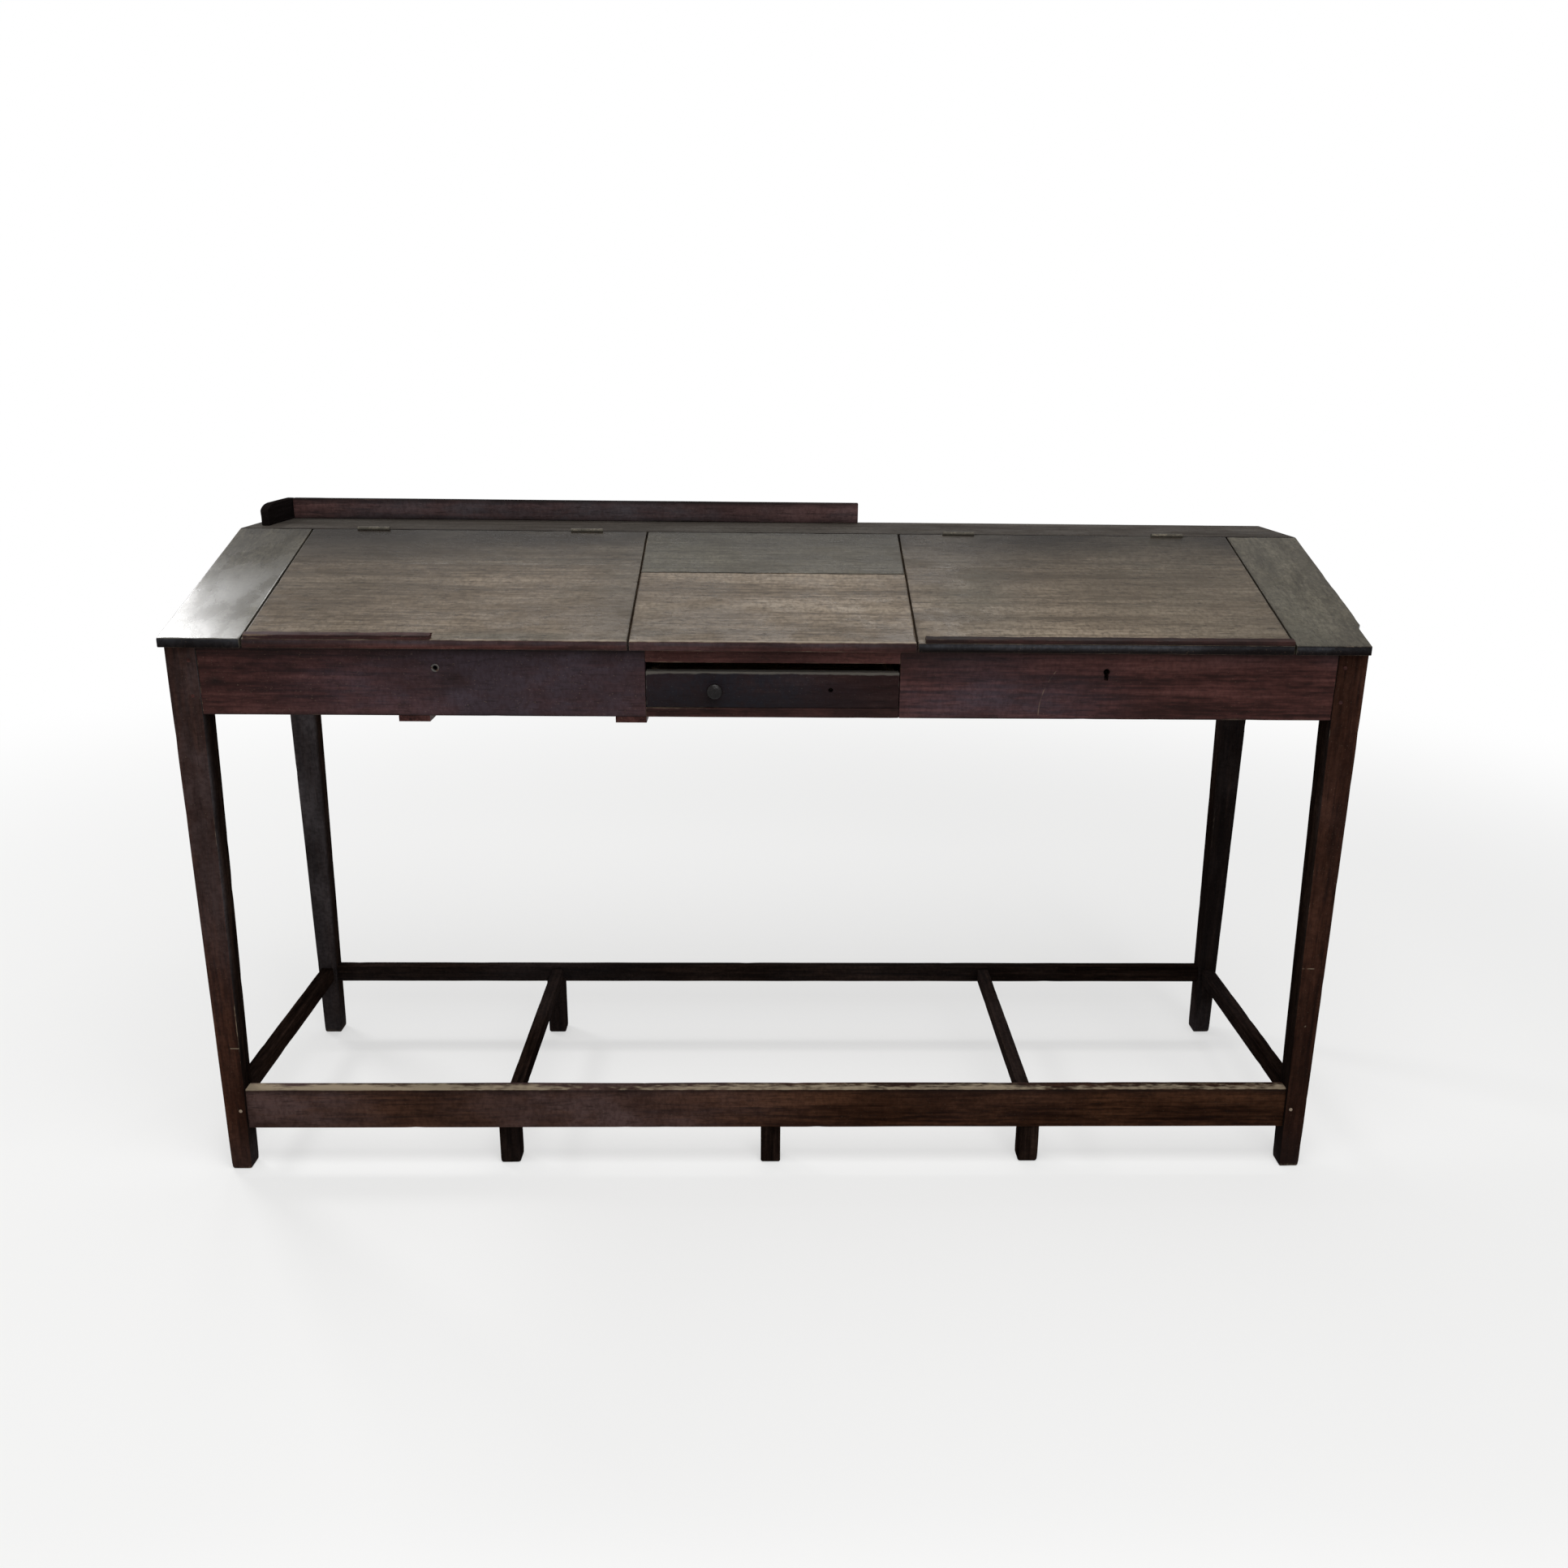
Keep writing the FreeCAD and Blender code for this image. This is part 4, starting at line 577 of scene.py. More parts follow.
def ripple(points: Points, seed: int, wavelength: float) -> Points:
    """A gentle unevenness of a hand-planed face.

    Args:
        points: Where it is read.
        seed: The seed of its waves.
        wavelength: The usual length of a wave.

    Returns:
        A value from -1 to 1 for each point.
    """
    draw = np.random.default_rng(seed)
    total = np.zeros(len(points))
    waves = 5
    for _ in range(waves):
        direction = draw.normal(size=3)
        direction *= TURN / (np.linalg.norm(direction) * wavelength * draw.uniform(0.6, 1.6))
        total += np.sin(points @ direction + draw.uniform(0, TURN))
    return total / waves


@dataclass(frozen=True)
class Spot:
    """A soft-edged place on a block: its strength, and its middle and reach along the block's sides."""

    strength: float
    x: Pair = EVERYWHERE
    y: Pair = EVERYWHERE
    z: Pair = EVERYWHERE

    def at(self, points: Points) -> Points:
        """How strong the spot is at each point."""
        centre, reach = np.array((self.x, self.y, self.z)).T
        return self.strength * np.exp(-np.sum(((points - centre) / reach) ** 2, axis=1))


@dataclass(frozen=True)
class Incline:
    """A face that rises to the back, up to a ceiling."""

    y: float
    z: float
    ceiling: float = WHOLE

    def at(self, place: Points) -> Points:
        """The face's height along y."""
        return np.minimum(self.z + (place - self.y) * SLOPE, self.ceiling)


@dataclass
class WornBlock:
    """A six-sided piece whose arrises are rounded by wear, with nicks, and whose faces are not quite flat."""

    node: str
    size: Triple
    shape: Field
    run: Run = Run.ALONG_X
    arris: float = 0.0012
    least_arris: float = 0.0003
    arris_unevenness: float = 0.45
    arris_wave: float = 0.12
    spacing: float = 0.009
    unevenness: float = 0.00018
    face_wave: float = 0.16
    nicks: int = 8
    nick_reach: Pair = (0.006, 0.016)
    nick_depth: Pair = (0.0006, 0.002)
    bites: tuple[Spot, ...] = ()
    rubbed: tuple[Spot, ...] = ()
    filmed: tuple[Spot, ...] = ()
    # Spots of dirt, and of painted shade and dark reflection.
    grimed: tuple[Spot, ...] = ()
    grooves: tuple[float, ...] = ()
    groove_half: float = 0.0008
    groove_depth: float = 0.0006
    worn_width: float = 0.007
    name: str = field(init=False)
    seed: int = field(init=False)
    marks: dict[str, Points] = field(init=False)

    def __post_init__(self) -> None:
        """Name the piece, and take its seed from the name, so that each wears in its own way."""
        self.name = f"worn_{self.node}"
        self.seed = sum(ord(letter) * place for place, letter in enumerate(self.name, start=7))

    def _lines(self, axis: int, edge: float) -> Points:
        """Grid lines across one side: close together in the rounding, even between.

        Args:
            axis: Which side.
            edge: How far the rounding may reach in.

        Returns:
            The lines' places.
        """
        length = self.size[axis]
        ring = edge * np.array([0.0, 0.12, 0.28, 0.5, 0.75, 1.0])
        second = min(2.2 * edge, length / 2)
        count = max(1, round((length - 2 * second) / self.spacing))
        lines = [ring, np.linspace(second, length - second, count + 1), length - ring]
        if axis == 1:
            lines += [place + self.groove_half * np.array([-1.0, 0.0, 1.0]) for place in self.grooves]
        return np.unique(np.round(np.concatenate(lines), 6))

    def _nicks(self) -> list[Spot]:
        """Small nicks along the arrises.

        Returns:
            A spot for each nick.
        """
        draw = np.random.default_rng(self.seed)
        found = []
        for _ in range(self.nicks):
            axis = draw.choice(3, p=np.array(self.size) / sum(self.size))
            centre = np.where(draw.random(3) < 0.5, 0.0, np.array(self.size))
            centre[axis] = draw.uniform(0.02, 0.98) * self.size[axis]
            reach = draw.uniform(*self.nick_reach)
            found.append(Spot(draw.uniform(*self.nick_depth), *((place, reach) for place in centre)))
        return found

    def _shell(self, edge: float) -> tuple[Points, list[list[int]]]:
        """The grid on the six sides of the block.

        Args:
            edge: How far the rounding may reach in.

        Returns:
            The points and the faces.
        """
        lines = [self._lines(axis, edge) for axis in range(3)]
        counts = [len(line) for line in lines]
        grid = np.stack(np.meshgrid(*lines, indexing="ij"), axis=-1)
        sides = [(axis, end, tuple(end if other == axis else slice(None) for other in range(3)))
                 for axis in range(3) for end in (0, -1)]
        outer = np.zeros(counts, dtype=bool)
        for _, _, side in sides:
            outer[side] = True
        number = np.full(counts, -1)
        number[outer] = np.arange(outer.sum())
        faces = []
        for axis, end, side in sides:
            net = number[side]
            quads = np.stack([net[:-1, :-1], net[1:, :-1], net[1:, 1:], net[:-1, 1:]], axis=-1)
            if (end == -1) == (axis == 1):
                quads = quads[..., ::-1]
            faces += quads.reshape(-1, 4).tolist()
        return grid[outer], faces

    def _marks(self, points: Points) -> dict[str, Points]:
        """Where the block is rubbed, filmed, dirty and darkened by painted shade.

        Args:
            points: The block's points before wear.

        Returns:
            A value for each point under each mark's name.
        """
        gap = np.sort(np.minimum(points, np.array(self.size) - points), axis=1)[:, 1]
        marks = dict.fromkeys(MARKS, np.zeros(len(points)))
        marks["arris"] = np.clip(1.0 - gap / self.worn_width, 0.0, 1.0)
        for name, spots in zip(MARKS, (self.rubbed, self.filmed, self.grimed)):
            for spot in spots:
                marks[name] = np.maximum(marks[name], spot.at(points))
        return marks

    def build(self) -> Object:
        """Make the block's mesh, with its grain and its worn arrises as attributes.

        Returns:
            The new object.
        """
        size = np.array(self.size)
        wear = self._nicks() + list(self.bites)
        edge = min(self.arris * 1.5 + max([bite.strength for bite in wear], default=0.0), 0.42 * size.min())
        points, faces = self._shell(edge)
        radius = self.arris * (1.0 + self.arris_unevenness * ripple(points, self.seed, self.arris_wave))
        for bite in wear:
            radius = radius + bite.at(points)
        radius = np.clip(radius, self.least_arris, edge)[:, None]
        inner = np.clip(points, radius, size - radius)
        away = points - inner
        outward = away / np.maximum(np.linalg.norm(away, axis=1, keepdims=True), 1e-9)
        sunk = 0.5 * self.unevenness * (ripple(points, self.seed + 1, self.face_wave) - 1.0)
        made = inner + outward * (radius + sunk[:, None])
        for place in self.grooves:
            middle = np.abs(points[:, 1] - place) < self.groove_half / 4
            made[(outward[:, 2] > 0.9) & middle, 2] -= self.groove_depth
        mesh = bpy.data.meshes.new(self.name)
        mesh.from_pydata(self.shape(made / size).tolist(), [], faces)
        mesh.update()
        piece = bpy.data.objects.new(self.name, mesh)
        bpy.context.scene.collection.objects.link(piece)
        self.marks = self._marks(points)
        for name, values in self.marks.items():
            set_attribute(mesh, name, values)
        self._lay_grain(piece)
        for polygon in mesh.polygons:
            polygon.use_smooth = True
        piece.modifiers.new("flat_faces", "WEIGHTED_NORMAL").keep_sharp = True
        return piece

    def _lay_grain(self, piece: Object) -> None:
        """Write the grain's own coordinates, along, across and through the board.

        Args:
            piece: The board.
        """
        points = vertex_points(piece.data)
        shift = np.random.default_rng(self.seed + 2).uniform(-4.0, 4.0, 3)
        laid = points[:, list(self.run.value)] + shift
        next_board = np.array([1.7, 0.9, 0.4])
        for place in self.grooves:
            start = self.shape(np.array([[0.5, place / self.size[1], 1.0]]))[0, 1]
            laid[points[:, 1] > start] += next_board
        set_attribute(piece.data, "grain", laid)

    def carve(self, piece: Object, cutters: Sequence[Object]) -> None:
        """Take the cutters out of the board, then lay its grain and wear again.

        Args:
            piece: The board as it was built.
            cutters: Closed meshes, which are used up.
        """
        old = piece.data
        tree = KDTree(len(old.vertices))
        for number, vertex in enumerate(old.vertices):
            tree.insert(vertex.co, number)
        tree.balance()
        smoother = piece.modifiers["flat_faces"]
        smoother.show_viewport = False
        for cutter in cutters:
            cut = piece.modifiers.new(cutter.name, "BOOLEAN")
            cut.object = cutter
            cut.operation = "DIFFERENCE"
            cut.solver = "EXACT"
            piece.modifiers.move(len(piece.modifiers) - 1, 0)
        bpy.context.view_layer.update()
        mesh = bpy.data.meshes.new_from_object(piece.evaluated_get(bpy.context.evaluated_depsgraph_get()))
        for cutter in cutters:
            piece.modifiers.remove(piece.modifiers[cutter.name])
            bpy.data.objects.remove(cutter)
        smoother.show_viewport = True
        mesh.name = old.name
        piece.data = mesh
        bpy.data.meshes.remove(old)
        nearest = [tree.find(vertex.co)[1] for vertex in mesh.vertices]
        for name, values in self.marks.items():
            set_attribute(mesh, name, values[nearest])
        self._lay_grain(piece)

    def lay(self, slot: str, finish: WoodFinish, body: Body = Body.DESK, cutters: Sequence[Object] = (),
            faces: Mapping[Side, WoodFinish] | None = None) -> None:
        """Build the board, cut it, dress it and let it ride in the place of its node.

        Args:
            slot: The record's material slot.
            finish: The board's finish.
            body: The body that it moves with.
            cutters: What is cut out of it.
            faces: The finishes of faces that differ, by the way they look.
        """
        piece = self.build()
        if cutters:
            self.carve(piece, cutters)
        settle(piece, body, slot, finish.material(), self.node)
        for side, other in (faces or {}).items():
            piece.data.materials.append(other.material())
            for polygon in piece.data.polygons:
                if polygon.normal.dot(Vector(side.value)) > FACING:
                    polygon.material_index = len(piece.data.materials) - 1


def vertex_points(mesh: Mesh) -> Points:
    """All the vertices of a mesh as an array.

    Args:
        mesh: The mesh to read.

    Returns:
        A row for each vertex.
    """
    flat = np.zeros(len(mesh.vertices) * 3)
    mesh.vertices.foreach_get("co", flat)
    return flat.reshape(-1, 3)


def set_attribute(mesh: Mesh, name: str, values: Points) -> None:
    """Write one value or vector for each vertex.

    Args:
        mesh: The mesh to write to.
        name: The attribute's name.
        values: One row for each vertex.
    """
    kind, key = ("FLOAT_VECTOR", "vector") if values.ndim == 2 else ("FLOAT", "value")
    found = mesh.attributes.get(name) or mesh.attributes.new(name, kind, "POINT")
    found.data.foreach_set(key, values.astype(np.float32).ravel())


def from_bmesh(name: str, shape: BMesh) -> Object:
    """Turn a bmesh into an object of the scene.

    Args:
        name: The object's name.
        shape: The bmesh, which is freed.

    Returns:
        The new object.
    """
    mesh = bpy.data.meshes.new(name)
    shape.to_mesh(mesh)
    shape.free()
    made = bpy.data.objects.new(name, mesh)
    bpy.context.scene.collection.objects.link(made)
    return made


def round_cutter(name: str, centre: Sequence[float], radius: float, length: float = 0.06,
                 turn: Matrix = TO_FRONT) -> Object:
    """A round bar to cut with.

    Args:
        name: The cutter's name.
        centre: The middle of the bar.
        radius: Its radius.
        length: Its length.
        turn: How it is turned from upright.

    Returns:
        The cutter.
    """
    shape = bmesh.new()
    bmesh.ops.create_cone(shape, cap_ends=True, segments=28, radius1=radius, radius2=radius, depth=length,
                          matrix=Matrix.Translation(centre) @ turn)
    return from_bmesh(name, shape)


def square_cutter(name: str, low: Sequence[float], high: Sequence[float]) -> Object:
    """A squared bar to cut with.

    Args:
        name: The cutter's name.
        low: Its lowest corner.
        high: Its highest corner.

    Returns:
        The cutter.
    """
    low, high = Vector(low), Vector(high)
    shape = bmesh.new()
    bmesh.ops.create_cube(shape, size=1.0,
                          matrix=Matrix.Translation((low + high) / 2) @ Matrix.Diagonal((*(high - low), 1.0)))
    return from_bmesh(name, shape)


def join_rings(shape: BMesh, rings: Sequence[Sequence[BMVert]]) -> None:
    """Put faces between each ring of points and the next.

    Args:
        shape: The mesh that takes the faces.
        rings: The rings; one of a single point is a tip.
    """
    sides = max(len(ring) for ring in rings)
    for low, high in zip(rings, rings[1:]):
        for step in range(sides):
            after = (step + 1) % sides
            corners = (low[step % len(low)], low[after % len(low)], high[after % len(high)],
                       high[step % len(high)])
            shape.faces.new(list(dict.fromkeys(corners)))


def turned(name: str, profile: Sequence[Pair], segments: int = 40) -> Object:
    """A piece turned on a lathe about its own z.

    Args:
        name: The piece's name.
        profile: Radius and height along the outline, from one end of the axis to the other.
        segments: How many steps make the turn.

    Returns:
        The new object.
    """
    shape = bmesh.new()
    angles = [TURN * step / segments for step in range(segments)]
    rings = [[shape.verts.new((radius * math.cos(angle), radius * math.sin(angle), height))
              for angle in (angles if radius else angles[:1])] for radius, height in profile]
    join_rings(shape, rings)
    bmesh.ops.recalc_face_normals(shape, faces=shape.faces)
    for polygon in shape.faces:
        polygon.smooth = True
    return from_bmesh(name, shape)


def settle(piece: Object, body: Body, slot: str, material: Material, *nodes: str) -> None:
    """Dress a piece and let it ride.

    Args:
        piece: The piece.
        body: The body that it moves with.
        slot: The record's material slot; not used.
        material: Its finish.
        *nodes: The CAD nodes that it stands for.
    """
    piece.data.materials.clear()
    piece.data.materials.append(material)
    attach(piece, body.value)
    if nodes:
        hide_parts(*nodes)
    LOG.info("piece %s rides on %s", piece.name, body.value)


def dress_nodes(material: Material, *nodes: str) -> None:
    """Give CAD nodes their finish.

    Args:
        material: The finish.
        *nodes: The nodes' names.
    """
    for node in nodes:
        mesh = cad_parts[node].data
        mesh.materials.clear()
        mesh.materials.append(material)
        LOG.info("node %s wears %s", node, material.name)


def plumb(low: Vector, high: Vector, under: Field | None = None, over: Field | None = None) -> Field:
    """A shape that is square in plan, between an under and an upper face.

    Args:
        low: The lowest corner.
        high: The highest corner.
        under: The under face's height along y, if it isn't level.
        over: The upper face's height along y, if it isn't level.

    Returns:
        The shape, from unit coordinates to points.
    """
    low_corner, high_corner = np.array(low), np.array(high)

    def shape(unit: Points) -> Points:
        """Place unit coordinates.

        Args:
            unit: The coordinates, from 0 to 1 along each side.

        Returns:
            The points.
        """
        made = low_corner + unit * (high_corner - low_corner)
        bottom = under(made[:, 1]) if under else low_corner[2]
        top = over(made[:, 1]) if over else high_corner[2]
        made[:, 2] = bottom + unit[:, 2] * (top - bottom)
        return made

    return shape


def board(node: str, low: Vector, high: Vector, over: Field | None = None, **facts: Value) -> WornBlock:
    """A board between two corners, whose upper face may slope."""
    return WornBlock(node, tuple(high - low), plumb(low, high, over=over), **facts)


def plain_board(node: str, **facts: Value) -> WornBlock:
    """A squared board in the place of a node."""
    return board(node, *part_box(node), **facts)


def sloping(node: str) -> tuple[Triple, Field]:
    """The sides and the shape of a board that lies along the slope.

    Args:
        node: The board's node.

    Returns:
        Its sides, the last one along its plumb edge, and its shape.
    """
    low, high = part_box(node)
    sides = high - low
    thick = sides.z - sides.y * SLOPE
    shape = plumb(low, high, Incline(low.y, low.z).at, Incline(low.y, low.z + thick).at)
    return (sides.x, sides.y, thick), shape


# Sub-assemblies


@dataclass
class Legs:
    """Four tapered legs with the pegs of their joints."""

    slot: str = "stained_frame"
    foot_width: float = 0.036
    width: float = 0.050
    knee: float = 0.8715
    foot_rounding: float = 0.0035
    peg_radius: float = 0.0035
    peg_sides: int = 12
    peg_rings: tuple[Pair, ...] = ((1.0, 0.012), (1.0, 0.0005), (0.86, 0.0001), (0.5, 0.0))
    peg_seed: int = 41
    peg_grain: float = 3.0
    rubbed_pegs: Pair = (0.3, 1.5)

    def build(self) -> None:
        """Make the legs and the pegs."""
        for end in End:
            for hand in Hand:
                self._leg(end, hand)
        self._pegs()

    def _leg(self, end: End, hand: Hand) -> None:
        """Make one leg.

        Args:
            end: Front or back.
            hand: Left or right.
        """
        node = f"{end.value}_{hand.value}_leg"
        low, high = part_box(node)
        front, left = end is End.FRONT, hand is Hand.LEFT
        outer_x, x_sign = (low.x, 1.0) if left else (high.x, -1.0)
        outer_y, y_sign = (low.y, 1.0) if front else (high.y, -1.0)
        rise = SLOPE if front else 0.0

        def shape(unit: Points) -> Points:
            """Taper the two inner faces towards the foot.

            Args:
                unit: The coordinates, from 0 to 1 along each side.

            Returns:
                The points.
            """
            breadth = unit[:, 0] if left else 1.0 - unit[:, 0]
            depth = unit[:, 1] if front else 1.0 - unit[:, 1]
            height = unit[:, 2] * (high.z - rise * (1.0 - depth) * self.width)
            grown = np.clip(height / self.knee, None, 1.0)
            wide = self.foot_width + (self.width - self.foot_width) * grown
            x, y = outer_x + x_sign * wide * breadth, outer_y + y_sign * wide * depth
            return np.stack([x, y, height], axis=1)

        front_film = Spot(0.95 if left else 0.2, y=(0.0, 0.012), z=(0.75, 0.36 if front else 0.7))
        leg = WornBlock(node, (self.width, self.width, high.z), shape, Run.ALONG_Z, arris=0.0015, nicks=22,
                        bites=(Spot(self.foot_rounding, z=(0.0, 0.008)),),
                        rubbed=(Spot(1.3, z=(0.0, 0.018)),),
                        filmed=(Spot(0.6, z=(0.0, 0.07)), front_film),
                        grimed=(Spot(0.55, z=(0.0, 0.09)), Spot(0.0 if left else 0.35, z=(0.2, 0.25))))
        # Painted shade: the front legs' inner faces and the whole of the back legs take the dark
        # stain-and-shade finish.
        if front:
            leg.lay(self.slot, LEG_WOOD, faces={hand.inner: STAIN_AND_SHADE_WOOD})
        else:
            leg.lay(self.slot, STAIN_AND_SHADE_WOOD)

    def _pegs(self) -> None:
        """Replace the pegs with ones whose heads are rounded and not quite true."""
        source = bmesh.new()
        source.from_mesh(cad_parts["joint_pegs"].data)
        bmesh.ops.remove_doubles(source, verts=source.verts, dist=1e-6)
        made = bmesh.new()
        waiting = set(source.verts)
        draw = np.random.default_rng(self.peg_seed)
        for first in source.verts:
            if first not in waiting:
                continue
            waiting.remove(first)
            island = [first]
            for vertex in island:
                near = {edge.other_vert(vertex) for edge in vertex.link_edges} & waiting
                waiting -= near
                island.extend(near)
            points = np.array([vertex.co for vertex in island])
            self._peg(made, points.min(axis=0), points.max(axis=0), draw)
        source.free()
        bmesh.ops.recalc_face_normals(made, faces=made.faces)
        piece = from_bmesh("worn_joint_pegs", made)
        points = vertex_points(piece.data)
        below, strength = self.rubbed_pegs
        rubbed = (points[:, 2] < below) & (points[:, 1] < 0.0)
        set_attribute(piece.data, "grain", points * self.peg_grain)
        set_attribute(piece.data, "arris", np.where(rubbed, strength, 0.0))
        settle(piece, Body.DESK, "peg_wood", PEG_WOOD.material(), "joint_pegs")

    def _peg(self, made: BMesh, low: Points, high: Points, draw: np.random.Generator) -> None:
        """Add one peg to the mesh.

        Args:
            made: The mesh that takes the peg.
            low: The lowest corner of the CAD peg.
            high: The highest corner of the CAD peg.
            draw: Where its small untruths come from.
        """
        axis = int(np.argmax(high - low))
        middle = (low + high) / 2
        outward = np.zeros(3)
        outward[axis] = np.sign(middle[axis])
        beside, up = np.roll(outward, 1), np.roll(outward, 2)
        head = middle + outward * (high - low)[axis] / 2
        spread = self.peg_radius * draw.uniform(0.9, 1.0, self.peg_sides)
        angles = [TURN * step / self.peg_sides for step in range(self.peg_sides)]
        spokes = [(beside * math.cos(angle) + up * math.sin(angle)) * reach
                  for angle, reach in zip(angles, spread)]
        rings = [[made.verts.new(head - outward * depth + spoke * share) for spoke in spokes]
                 for share, depth in self.peg_rings]
        join_rings(made, rings)
        made.faces.new(rings[-1])
        made.faces.new(rings[0][::-1])


@dataclass
class FootFrame:
    """The foot rails, stretchers and short feet near the floor."""

    slot: str = "stained_frame"
    tread_rounding: float = 0.0045
    tread_places: tuple[float, ...] = (0.34, 0.72, 1.06, 1.46, 1.86)
    stretchers: tuple[str, ...] = ("left_side_stretcher", "right_side_stretcher", "left_cross_stretcher",
                                   "right_cross_stretcher")
    front_feet: tuple[str, ...] = ("front_left_short_foot", "front_middle_short_foot",
                                   "front_right_short_foot")

    def build(self) -> None:
        """Make the rails, the stretchers and the short feet."""
        low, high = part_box("front_foot_rail")
        top = high.z - low.z
        rail = plain_board(
            "front_foot_rail", arris=0.002, nicks=30,
            bites=tuple(Spot(self.tread_rounding, (place, 0.13), (0.0, 0.02), (top, 0.02))
                        for place in self.tread_places),
            rubbed=(Spot(1.3, y=(0.0, 0.04), z=(top, 0.0035)),
                    Spot(1.65, (0.25, 0.75), (0.0, 0.04), (top, 0.0035))),
            filmed=(Spot(0.85, (0.08, 0.18)), Spot(0.95, (0.66, 0.26))),
            grimed=(Spot(0.75, y=(0.0, 0.004), z=(top - 0.004, 0.004)), Spot(0.25, (0.37, 0.1))))
        rail.lay(self.slot, RAIL_WOOD)
        # Painted shade: the back rail and the stretchers take the dark stain-and-shade finish.
        plain_board("back_foot_rail", arris=0.0018, nicks=14).lay(self.slot, STAIN_AND_SHADE_WOOD)
        for node in self.stretchers:
            plain_board(node, run=Run.ALONG_Y, arris=0.0018, nicks=14).lay(self.slot, STAIN_AND_SHADE_WOOD)
        for node in self.front_feet:
            foot_low, foot_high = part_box(node)
            lap = square_cutter(f"{node}_lap", (foot_low.x - OVERCUT, foot_low.y - OVERCUT, low.z),
                                (foot_high.x + OVERCUT, high.y, foot_high.z + OVERCUT))
            self._foot(node, lap)
        self._foot("back_short_foot")

    def _foot(self, node: str, *cutters: Object) -> None:
        """Make one short foot."""
        foot = plain_board(node, run=Run.ALONG_Z, arris=0.0016, spacing=0.006,
                           bites=(Spot(0.003, z=(0.0, 0.007)),), rubbed=(Spot(1.0, z=(0.0, 0.012)),))
        # Painted shade: the short feet take the dark stain-and-shade finish.
        foot.lay(self.slot, STAIN_AND_SHADE_WOOD, cutters=cutters)


